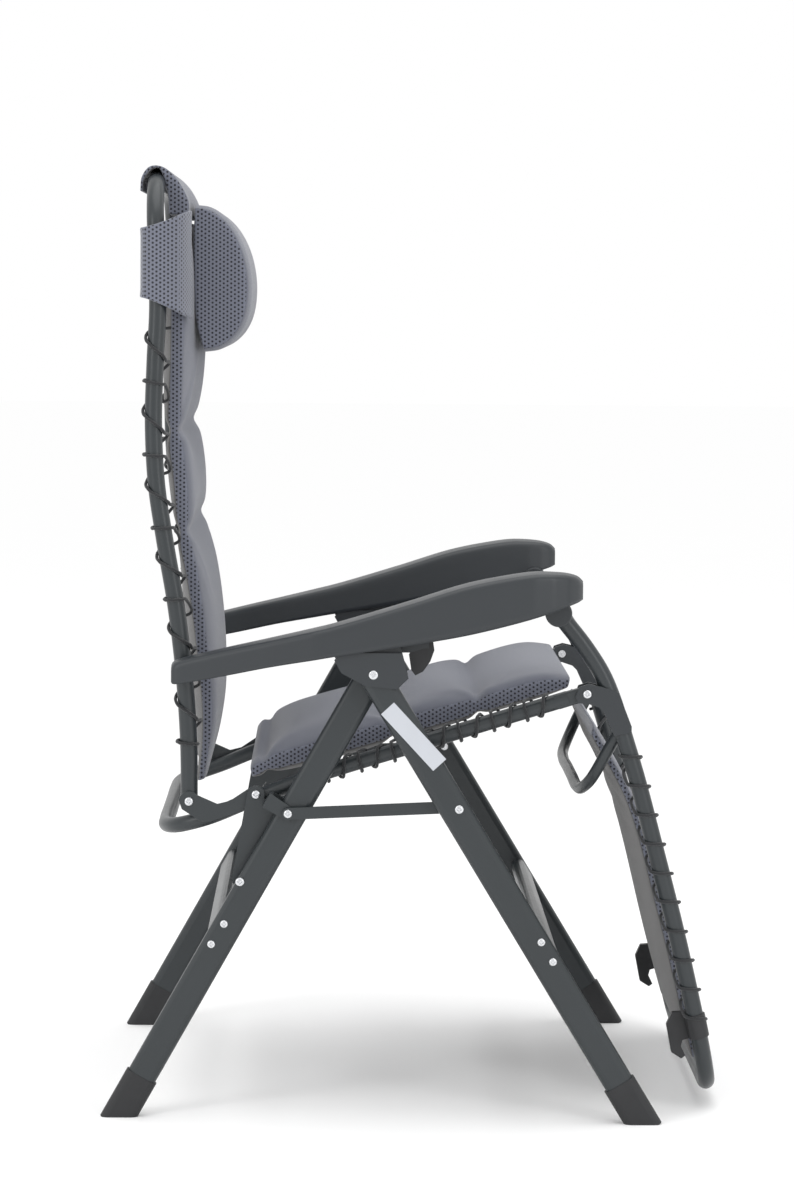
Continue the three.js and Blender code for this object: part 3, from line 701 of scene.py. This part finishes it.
PIVOT_HEAD_RADIUS = 5.8
PIVOT_SHANK_RADIUS = 3
PIVOT_NUT_RADIUS = 5.2
CROSSBAR_HEAD_RADIUS = 5.2
CROSSBAR_HEAD_RISE = 2.2
RIVET_RISE = 2.0
STRUT_RIVET_RADIUS = 5.5
STRUT_RIVET_FACE = 308.4
ARM_RIVET_RADIUS = 5.2
ARM_RIVET_FACE = 245


def pivot_screw(name, centre, inner, outer, rise, side, body, node):
    """A screw through a joint: a cross head that stands rise high outside, and a plain dome inside."""
    parts = [
        screw_head(name + "_head", centre, side * outer, side, PIVOT_HEAD_RADIUS, rise),
        shank(name + "_shank", centre, side * inner, side * outer, PIVOT_SHANK_RADIUS),
        shank(name + "_nut", centre, side * (inner - rise * 0.9), side * inner, PIVOT_NUT_RADIUS),
    ]
    finish(merge(name, parts), body, "zinc", node)


HEAD_RISE = 2.4
LOW_HEAD_RISE = 1.2
PIVOTS = [
    ("leg_pin", LEG_TOP_PIVOT, 277.5, 332.1, LOW_HEAD_RISE, "rear_legs"),
    ("crank_pin", CRANK_PIVOT, 272.9, 300.3, HEAD_RISE, "rear_legs"),
    ("strut_front_pin", STRUT_FRONT_PIVOT, 303.9, 329.3, HEAD_RISE, "front_legs"),
    ("back_pin", BACK_PIVOT, 246, 272.7, HEAD_RISE, "seat"),
    ("seat_pin", SEAT_PIVOT, 247, 277.5, HEAD_RISE, "cranks"),
    ("foot_pin", FOOT_PIVOT, 245, 271, HEAD_RISE, "seat"),
]
CROSSBAR_SCREWS = [
    ("rear_bar_screw_upper", (-236, 249), REAR_LEG_FACE, "rear_legs"),
    ("rear_bar_screw_lower", (-252, 223), REAR_LEG_FACE, "rear_legs"),
    ("front_bar_screw_upper", (164, 233), FRONT_LEG_FACE, "front_legs"),
    ("front_bar_screw_lower", (179, 208), FRONT_LEG_FACE, "front_legs"),
]


def make_screws():
    for label, side in SIDES:
        for name, centre, inner, outer, rise, body in PIVOTS:
            node = f"{name}_{label}"
            pivot_screw(node + "_screw", centre, inner, outer, rise, side, body, node)
        for name, centre, across, body in CROSSBAR_SCREWS:
            face = side * across
            head = screw_head(f"{name}_{label}", centre, face, side, CROSSBAR_HEAD_RADIUS, CROSSBAR_HEAD_RISE)
            finish(head, body, "zinc")
        face = side * STRUT_RIVET_FACE
        name = "strut_rivet_" + label
        rivet = screw_head(name, STRUT_REAR_PIVOT, face, side, STRUT_RIVET_RADIUS, RIVET_RISE)
        finish(rivet, "struts", "zinc", "strut_rear_pin_" + label)
        face = side * ARM_RIVET_FACE
        name = "arm_rivet_" + label
        rivet = screw_head(name, ARM_REAR_PIVOT, face, -side, ARM_RIVET_RADIUS, RIVET_RISE)
        finish(rivet, "back", "zinc", "arm_rear_pin_" + label)


# ------------------------------------------------------------------ parts kept from the CAD
# Name, material and width of the rounded edges, for the legs, links and mouldings that come in pairs.
CAD_FINISHES = [
    ("rear_leg", PAINT, 0),
    ("front_leg", PAINT, 0),
    ("strut", PAINT, 0.6),
    ("crank", PAINT, 0.6),
    ("leg_bracket", PLASTIC, 1.6),
    ("foot_bracket", PLASTIC, 1.0),
    ("rear_foot_cap", BLACK, 0.8),
    ("front_foot_cap", BLACK, 0.8),
    ("release_lever", BLACK, 1.4),
    ("arm_front_pin", ZINC, 0),
]


def dress(node, material, bevel):
    """Gives a CAD node its material and rounded edges."""
    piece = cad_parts[node]
    piece.data.materials.clear()
    piece.data.materials.append(material)
    if bevel:
        flat = piece.modifiers.new("flat faces", "DECIMATE")
        flat.decimate_type = "DISSOLVE"
        flat.angle_limit = math.radians(1)
        round_edges(piece, bevel)
    else:
        piece.data.shade_smooth()
        crease(piece, EDGE_ANGLE)


def dress_cad_nodes():
    for name in ("rear_crossbar", "front_crossbar"):
        dress(name, PAINT, 0)
    for label, _ in SIDES:
        for name, material, bevel in CAD_FINISHES:
            dress(f"{name}_{label}", material, bevel)


# ------------------------------------------------------------------ fold clips
CLIP_OUTLINE = [
    (338, 128),
    (366, 130),
    (372, 98),
    (352, 92),
    (350, 84),
    (356, 72),
    (351, 68),
    (338, 76),
    (331, 112),
]
CLIP_LAYER = (236, 247)
CLIP_BAND_HEIGHTS = (98, 130)
CLIP_WALL = 2.2
CLIP_BEVEL = 0.8


def fold_clip(label, side):
    """A hooked clip clamped round a footrest tube."""
    rail = smooth_path([place(x, side * y, z) for x, y, z in FOOT_RAIL], 0.002)
    lowest, highest = CLIP_BAND_HEIGHTS
    held = rail[(rail[:, 2] > lowest * MM) & (rail[:, 2] < highest * MM)]
    inner, outer = CLIP_LAYER
    parts = [
        tube("clip_band", held, (TUBE_RADIUS + CLIP_WALL) * MM, BLACK, 32),
        plate("clip_hook", CLIP_OUTLINE, side * inner, side * outer, BLACK, CLIP_BEVEL),
    ]
    clip = merge("footrest_clip_" + label, parts)
    round_edges(clip, CLIP_BEVEL)
    finish(clip, "footrest", "black_plastic", "fold_clip_" + label)


def make_clips():
    for label, side in SIDES:
        fold_clip(label, side)


# ------------------------------------------------------------------ armrests
# Side view of an armrest: x, underside, top, and its inner and outer faces.
ARM_SECTIONS = [
    (-304, 556, 575, 274, 300),
    (-302, 554, 579, 273, 304),
    (-297, 554, 582, 273, 306),
    (-240, 565, 597, 273, 316),
    (-180, 578, 611, 273, 327),
    (-125, 588, 624, 273, 336),
    (-97, 593, 631, 273, 337),
    (-8, 607, 658, 273, 337),
    (64, 620, 681, 273, 337),
    (110, 631, 691, 273, 337),
    (150, 642, 697, 273, 335),
    (175, 650, 697, 273, 330),
    (195, 657, 695, 275, 321),
    (207, 661, 691, 279, 309),
    (213, 664, 685, 285, 299),
]
ARM_CORNER = 8
ARM_CROWN = 1.6
ARM_WALL = 3
ARM_BOSS_RADIUS = 17
ARM_BOSS_LAYER = (270.6, 283)


def arm_profile(bottom, top, inner, outer, side):
    """Across an armrest, up its inner wall, over the crowned top and down its outer wall."""
    corner = min(ARM_CORNER, (top - bottom) * 0.4, (outer - inner) * 0.4)
    points = [(inner, z) for z in np.linspace(bottom, top - corner, 7)]
    for angle in np.radians(np.linspace(180, 90, 7))[1:]:
        points.append((inner + corner + corner * math.cos(angle), top - corner + corner * math.sin(angle)))
    middle = np.linspace(inner + corner, outer - corner, 7)[1:-1]
    half = (outer - inner) / 2 - corner
    for y in middle:
        away = (y - (inner + outer) / 2) / half
        points.append((y, top + ARM_CROWN * (1 - away * away)))
    for angle in np.radians(np.linspace(90, 0, 7)):
        points.append((outer - corner + corner * math.cos(angle), top - corner + corner * math.sin(angle)))
    points += [(outer, z) for z in np.linspace(top - corner, bottom, 7)[1:]]
    return [(side * y, z) for y, z in points]


def armrest(label, side):
    """A hollow moulding, open below, with a boss on its inner wall at the front."""
    table = smooth_path([s[:3] for s in ARM_SECTIONS], 4)
    widths = np.array(ARM_SECTIONS, float)
    points = []
    for x, bottom, top in table:
        inner = np.interp(x, widths[:, 0], widths[:, 3])
        outer = np.interp(x, widths[:, 0], widths[:, 4])
        points += [place(x, y, z) for y, z in arm_profile(bottom, top, inner, outer, side)]
    count = len(points) // len(table)
    faces = []
    for ring in range(len(table) - 1):
        for k in range(count - 1):
            a = ring * count + k
            faces.append((a, a + 1, a + 1 + count, a + count))
    faces.append(tuple(range(count)))
    faces.append(tuple(range(len(points) - count, len(points))))
    shell = make("armrest_shell_" + label, points, faces, PLASTIC)
    wall = shell.modifiers.new("wall", "SOLIDIFY")
    wall.thickness = ARM_WALL * MM
    wall.offset = -1
    crease(shell, 50)
    finish(shell, "armrests", "moulded_plastic", "armrest_" + label)
    x, z = ARM_FRONT_PIVOT
    route = np.array([tuple(place(x, side * y, z)) for y in ARM_BOSS_LAYER])
    boss = tube("armrest_boss_" + label, route, ARM_BOSS_RADIUS * MM, PLASTIC, 40)
    round_edges(boss, 2.0)
    finish(boss, "armrests", "moulded_plastic")


def make_armrests():
    for label, side in SIDES:
        armrest(label, side)


# ------------------------------------------------------------------ padding
def box_shell(name, counts, locate, *materials):
    """A closed skin of quads over a box of grid points; locate(u, v, w) puts each, all from 0 to 1."""
    index = {}
    points = []

    def vertex(*cell):
        if cell not in index:
            index[cell] = len(points)
            points.append(locate(*(c / n for c, n in zip(cell, counts))))
        return index[cell]

    faces = []
    for axis in range(3):
        first, second = [k for k in range(3) if k != axis]
        for level in (0, counts[axis]):
            for a in range(counts[first]):
                for b in range(counts[second]):
                    corners = []
                    for da, db in ((0, 0), (1, 0), (1, 1), (0, 1)):
                        cell = [0, 0, 0]
                        cell[axis] = level
                        cell[first] = a + da
                        cell[second] = b + db
                        corners.append(vertex(*cell))
                    faces.append(tuple(corners))
    return make(name, points, faces, *materials), index


CLOTH_FRAMES = 20


def inflate(piece, held, pressure, limit):
    """Swells a closed skin like stuffed cloth, held at its seams, by at most limit metres."""
    start = points_of(piece)
    seams = piece.vertex_groups.new(name="seams")
    seams.add([int(i) for i in held], 1.0, "REPLACE")
    cloth = piece.modifiers.new("cloth", "CLOTH")
    cloth.settings.vertex_group_mass = "seams"
    cloth.settings.use_pressure = True
    cloth.settings.uniform_pressure_force = pressure
    cloth.settings.effector_weights.gravity = 0
    cloth.settings.quality = 4
    cloth.settings.tension_stiffness = 8
    cloth.settings.compression_stiffness = 8
    cloth.settings.bending_stiffness = 0.3
    cloth.collision_settings.use_collision = False
    scene = bpy.context.scene
    for number in range(1, CLOTH_FRAMES + 1):
        scene.frame_set(number)
    swollen = piece.evaluated_get(bpy.context.evaluated_depsgraph_get())
    flat = np.empty(len(swollen.data.vertices) * 3)
    swollen.data.vertices.foreach_get("co", flat)
    move = flat.reshape(-1, 3) - start
    size = np.linalg.norm(move, axis=1)
    move *= (np.minimum(size, limit) / np.maximum(size, 1e-9))[:, None]
    piece.modifiers.remove(cloth)
    scene.frame_set(1)
    set_points(piece, start + move)


def subdivide(piece):
    """Smooths a cloth's skin by one level."""
    smoother = piece.modifiers.new("smooth", "SUBSURF")
    smoother.levels = 1
    smoother.render_levels = 1


# Stitches: the spacing of points along a seam in metres, then how many points make a stitch and a repeat.
STITCH_POINT_SPACING = 0.0015
STITCH_POINTS = 4
STITCH_REPEAT = 5
THREAD_RADIUS = 0.0006


def stitches(name, route, body):
    """A row of short threads along a seam."""
    path = even(np.asarray(route), STITCH_POINT_SPACING)
    parts = []
    for start in range(0, len(path) - STITCH_POINTS, STITCH_REPEAT):
        parts.append(tube("stitch", path[start : start + STITCH_POINTS], THREAD_RADIUS, THREAD, 6))
    finish(merge(name, parts), body, "pad_fabric")


# The material slots of a padded skin, after the cover's own; the underside slot holds the painted shade of
# the back and lower faces.
NET_SLOT = 1
SHADED_UNDERSIDE_SLOT = 2

# Side view of each pad: a point on its upper face, then the one behind it on its lower face.
BACK_PAD = [
    (-262, 424, -273, 420),
    (-250, 500, -270, 500),
    (-256, 600, -280, 600),
    (-266, 680, -291, 676),
    (-278, 743, -303, 738),
    (-281, 800, -309, 800),
    (-288, 870, -317, 870),
    (-287, 960, -314, 960),
    (-286, 1060, -314, 1060),
    (-290, 1136, -316, 1134),
]
BACK_SEAMS = (743, 870)
SEAT_PAD = [
    (-206, 440, -203, 424),
    (-190, 458, -184, 428),
    (-120, 482, -112, 446),
    (-30, 508, -22, 472),
    (5, 519, 13, 482),
    (86, 540, 94, 507),
    (165, 561, 171, 531),
    (204, 558, 200, 542),
]
SEAT_SEAMS = (-190, -30, 86)
FOOT_PAD = [
    (234, 498, 230, 482),
    (289, 400, 276, 396),
    (330, 262, 316, 258),
    (365, 120, 352, 116),
    (377, 66, 366, 63),
]


def seam_shares(pairs, column, values):
    """How far along a pad each seam is, from 0 to 1."""
    line = np.array(pairs, float)
    front = smooth_path(np.column_stack([line[:, 0], line[:, 1], line[:, 1] * 0]), 2)
    return [float(np.argmin(np.abs(front[:, column] - value))) / (len(front) - 1) for value in values]


# How far a seam draws the skin in and how wide that is along the pad, and the same for the pad's edges.
SEAM_PINCH = 0.62
SEAM_SHARE = 0.012
RIM_WIDTH = 16
RIM_DEPTH = 0.55
RIM_RISE = 0.45
PAD_NARROWING = 0.010


def pad_surface(pairs, seams):
    """The function that lays a pad's skin between its two faces, drawn in at its seams and edges."""
    table = np.array(pairs, float)
    zero = table[:, 0] * 0
    faces = [smooth_path(np.column_stack([table[:, k], table[:, k + 1], zero]), 2) for k in (2, 0)]

    def along(side, share):
        path = faces[side]
        mark = share * (len(path) - 1)
        return np.array([np.interp(mark, range(len(path)), path[:, k]) for k in (0, 1)])

    def locate(u, v, w):
        rear = along(0, u)
        front = along(1, u)
        near_seam = max([math.exp(-(((u - s) / SEAM_SHARE) ** 2)) for s in seams] or [0])
        depth = 1 - SEAM_PINCH * near_seam
        rim = min(v, 1 - v) * 2 * PAD_HALF_WIDTH / RIM_WIDTH
        depth *= RIM_DEPTH + RIM_RISE * min(1, rim) ** 0.5
        middle = rear * 0.6 + front * 0.4
        point = middle + (rear + (front - rear) * w - middle) * depth
        narrow = 1 - PAD_NARROWING * math.sin(math.pi * u)
        return place(point[0], (2 * v - 1) * PAD_HALF_WIDTH * narrow, point[1])

    return locate


def pad(name, pairs, seams, body, node, pressure, limit, counts):
    """A quilted pad with mesh side walls, swollen between its seams."""
    piece, index = box_shell(name, counts, pad_surface(pairs, seams), COVER, NET, SHADED_UNDERSIDE)
    rows = {round(s * counts[0]) for s in seams} | {0, counts[0]}
    edges = (0, counts[1])
    held = [i for (a, b, c), i in index.items() if (a in rows or b in edges) and c in (0, counts[2])]
    inflate(piece, held, pressure, limit)
    walls = {i for (a, b, c), i in index.items() if b in edges}
    backs = {i for (a, b, c), i in index.items() if c == 0}
    for face in piece.data.polygons:
        if all(i in walls for i in face.vertices):
            face.material_index = NET_SLOT
        elif all(i in backs for i in face.vertices):
            # The back and lower faces get the painted shade.
            face.material_index = SHADED_UNDERSIDE_SLOT
    subdivide(piece)
    finish(piece, body, "pad_fabric", node)
    points = points_of(piece)
    for number, share in enumerate(seams):
        row = round(share * counts[0])
        top = [points[index[row, b, counts[2]]] for b in range(1, counts[1])]
        stitches(f"{name}_stitches_{number}", top, body)


def make_pads():
    back_seams = seam_shares(BACK_PAD, 1, BACK_SEAMS)
    seat_seams = seam_shares(SEAT_PAD, 0, SEAT_SEAMS)
    pad("back_cushion", BACK_PAD, back_seams, "back", "back_pad", 4, 0.012, (84, 46, 4))
    pad("seat_cushion", SEAT_PAD, seat_seams, "seat", "seat_pad", 4, 0.014, (56, 46, 4))
    pad("foot_cushion", FOOT_PAD, [], "footrest", "foot_fabric", 2, 0.006, (60, 46, 2))


# ------------------------------------------------------------------ hood, pillow and strap
HOOD_FRONT = [
    (-288, 1142),
    (-287, 1156),
    (-294, 1174),
    (-306, 1191),
    (-322, 1203),
    (-338, 1203),
    (-348, 1190),
    (-350, 1172),
]
HOOD_REAR = [
    (-314, 1142),
    (-314, 1156),
    (-315, 1168),
    (-317, 1176),
    (-326, 1201),
    (-334, 1201),
    (-345, 1188),
    (-347, 1172),
]
HOOD_DIP = 2.0
HOOD_DIP_SPREAD = 31


def hood():
    """The end of the sling folded over the top tube like a cap."""
    outer = smooth_path([(x, z, 0) for x, z in HOOD_FRONT], 1)
    inner = smooth_path([(x, z, 0) for x, z in HOOD_REAR], 1)

    def locate(u, v, w):
        front = outer[round(u * (len(outer) - 1))]
        rear = inner[round(u * (len(inner) - 1))]
        across = (2 * v - 1) * HOOD_HALF_WIDTH
        dip = HOOD_DIP * math.cos(across / HOOD_DIP_SPREAD) * (1 - u)
        point = rear + (front - rear) * w
        return place(point[0] - dip * w * 0.4, across, point[1] + dip * 0.3)

    piece, _ = box_shell("hood_cloth", (40, 60, 3), locate, COVER, NET, SHADED_UNDERSIDE)
    for face in piece.data.polygons:
        if abs(face.normal.y) > 0.7:
            face.material_index = NET_SLOT
    subdivide(piece)
    finish(piece, "back", "pad_fabric", "top_hood")


PILLOW_OUTLINE = [
    (-281, 1156),
    (-262, 1154),
    (-240, 1139),
    (-222, 1113),
    (-211, 1080),
    (-208, 1042),
    (-214, 1008),
    (-228, 985),
    (-248, 971),
    (-268, 968),
]
PILLOW_REAR = [
    (-281, 1156),
    (-283, 1120),
    (-283, 1080),
    (-282, 1040),
    (-278, 1000),
    (-268, 968),
]
PILLOW_HEM = 8

# The last stretch towards each end, over which the pillow shrinks about a point at its back.
PILLOW_END_FROM = 150
PILLOW_END_LENGTH = 30
PILLOW_SHRINK_ABOUT = (-281, 1062)
PILLOW_SHRINK = (0.085, 0.05)


def pillow():
    """A D-shaped pillow with mesh ends and a smooth cover over its front."""
    front = smooth_path([(x, z, 0) for x, z in PILLOW_OUTLINE], 1)
    rear = smooth_path([(x, z, 0) for x, z in PILLOW_REAR], 1)
    counts = (30, 50, 10)

    def locate(u, v, w):
        outer = front[round(u * (len(front) - 1))]
        inner = rear[round(u * (len(rear) - 1))]
        across = (2 * v - 1) * (PILLOW_HALF_WIDTH - PILLOW_HEM)
        end = max(0.0, abs(2 * v - 1) * PILLOW_HALF_WIDTH - PILLOW_END_FROM) / PILLOW_END_LENGTH
        point = inner + (outer - inner) * w
        x, z = [
            about + (value - about) * (1 - shrink * end**2)
            for about, value, shrink in zip(PILLOW_SHRINK_ABOUT, point, PILLOW_SHRINK)
        ]
        return place(x, across, z)

    piece, index = box_shell("pillow", counts, locate, COVER, NET, SHADED_UNDERSIDE)
    held = [
        i
        for (a, b, c), i in index.items()
        if c == 0 or (b in (0, counts[1]) and (a in (0, counts[0]) or c == counts[2]))
    ]
    inflate(piece, held, 4, 0.010)
    ends = {i for (a, b, c), i in index.items() if b in (0, counts[1])}
    backs = {i for (a, b, c), i in index.items() if c == 0}
    for face in piece.data.polygons:
        if all(i in ends for i in face.vertices) or all(i in backs for i in face.vertices):
            face.material_index = NET_SLOT
    subdivide(piece)
    finish(piece, "pillow", "pad_fabric", "head_pillow")


# The strap's route seen from above, as x and the distance from the middle.
STRAP_ROUTE = [
    (-284, 214),
    (-288, 236),
    (-296, 258),
    (-309, 270),
    (-326, 274),
    (-340, 268),
    (-345, 250),
    (-345, 200),
    (-345, 120),
    (-345, 40),
]
STRAP_THICKNESS = 2.4
STRAP_MIDDLE = 1081
STRAP_HALF_HEIGHT = 44
STRAP_HEM = 1.5
STRAP_HEM_SHARE = 0.07

# From the tubes forward to the pillow, the strap flares by this much over this run.
STRAP_REAR = -345
STRAP_FLARE = 25
STRAP_FLARE_RUN = 61
STRAP_TUBE_SIDE = 200


def strap():
    """The pillow's elastic strap, pinched where it passes round the tubes and flared at the pillow."""
    plan = [(x, -y, 0) for x, y in STRAP_ROUTE] + [(x, y, 0) for x, y in reversed(STRAP_ROUTE)]
    route = smooth_path(plan, 3)
    total = len(route) - 1

    def locate(u, v, w):
        position = round(u * total)
        x, y, _ = route[position]
        ahead = route[min(position + 1, total)] - route[max(position - 1, 0)]
        outward = np.array([ahead[1], -ahead[0]]) / np.hypot(ahead[0], ahead[1])
        flare = min(1.0, max(0.0, (x - STRAP_REAR) / STRAP_FLARE_RUN)) if abs(y) > STRAP_TUBE_SIDE else 0.0
        half = STRAP_HALF_HEIGHT + STRAP_FLARE * flare**1.4
        middle = STRAP_MIDDLE - 2 * flare
        hem = STRAP_HEM * sum(math.exp(-((edge / STRAP_HEM_SHARE) ** 2)) for edge in (v, 1 - v))
        away = (w - 0.5) * (STRAP_THICKNESS + hem)
        return place(x - outward[0] * away, y - outward[1] * away, middle + (2 * v - 1) * half)

    piece, _ = box_shell("pillow_band", (total // 2, 24, 1), locate, NET)
    subdivide(piece)
    finish(piece, "pillow", "mesh_fabric", "pillow_strap")


# ------------------------------------------------------------------ lacing
LACE_STEPS = 14
CORD_GAP = 0.3


def lacing(name, rail, tube_radius, hook, turns, slants, side):
    """A cord laced round a rail and through the pad's edge.

    hook is how far inwards and then towards the pad the edge lies from the rail; slants says how much of
    each turn's advance happens on the outside of the tube, and repeats along the rail.
    """
    path = smooth_path([place(x, side * FRAME_Y, z) for x, z in rail], 0.001)
    tangents, _ = frames_along(path)
    inward = np.array([0, -side, 0])
    reach = (tube_radius + CORD_RADIUS + CORD_GAP) * MM
    away = math.hypot(*hook) * MM
    aim = math.atan2(hook[1], hook[0])
    leave = math.acos(reach / away)
    route = []

    def at(mark, angle, distance):
        spot = min(len(path) - 1, max(0, round(mark * (len(path) - 1))))
        towards = side * np.cross(tangents[spot], inward)
        return path[spot] + distance * (math.cos(angle) * inward + math.sin(angle) * towards)

    for turn in range(turns):
        slant = slants[turn % len(slants)]
        begin = (turn + 0.5 - slant / 2) / turns
        for k in range(LACE_STEPS + 1):
            share = k / LACE_STEPS
            angle = aim + leave + share * (2 * math.pi - 2 * leave)
            route.append(at(begin + share * slant / turns, angle, reach))
        route.append(at((turn + 1) / turns, aim, away))
    return tube(name, smooth_path(route, 0.0025), CORD_RADIUS * MM, CORD, 8)


BACK_LACE_RAIL = [
    (-284, 452),
    (-286, 520),
    (-293, 598),
    (-300, 650),
    (-314, 730),
    (-325, 803),
    (-329, 880),
    (-327, 958),
    (-325, 1000),
]
SEAT_LACE_RAIL = [
    (-118, 434.5),
    (0, 472),
    (140, 516),
    (176, 527.5),
]
FOOT_LACE_RAIL = [
    (273, 478),
    (288, 430),
    (310, 350),
    (338, 245),
    (362, 145),
    (371, 105),
]

# Part, rail, the rail's radius, hook, turns, slants and body.
LACINGS = [
    ("back", BACK_LACE_RAIL, TUBE_RADIUS, (30, 16), 12, (0.1, 0.8), "back"),
    ("seat", SEAT_LACE_RAIL, SEAT_TUBE_RADIUS, (30, -8), 14, (0.1, 0.7), "seat"),
    ("foot", FOOT_LACE_RAIL, TUBE_RADIUS, (30, 12), 10, (0.35,), "footrest"),
]


def make_lacing():
    for label, side in SIDES:
        for part, rail, tube_radius, hook, turns, slants, body in LACINGS:
            cord = lacing(f"{part}_cord_{label}", rail, tube_radius, hook, turns, slants, side)
            finish(cord, body, "elastic_cord", f"{part}_lacing_{label}")


# ------------------------------------------------------------------ label
LABEL_START = (-32, 528)
LABEL_END = (34, 457)
LABEL_HALF_WIDTH = 11
LABEL_THICKNESS = 0.35


def make_label():
    """A blank label on the outer face of the right front leg."""
    start = Vector(LABEL_START)
    end = Vector(LABEL_END)
    along = (end - start).normalized()
    across = Vector((-along.y, along.x)) * LABEL_HALF_WIDTH
    corners = [start + across, end + across, end - across, start - across]
    outline = [tuple(corner) for corner in corners]
    face = -FRONT_LEG_FACE
    piece = plate("blank_label", outline, face, face - LABEL_THICKNESS, LABEL, 0.1)
    finish(piece, "front_legs", "moulded_plastic")


make_camera()
make_studio()
make_frame_tubes()
make_screws()
dress_cad_nodes()
make_clips()
make_armrests()
make_pads()
hood()
pillow()
strap()
make_lacing()
make_label()
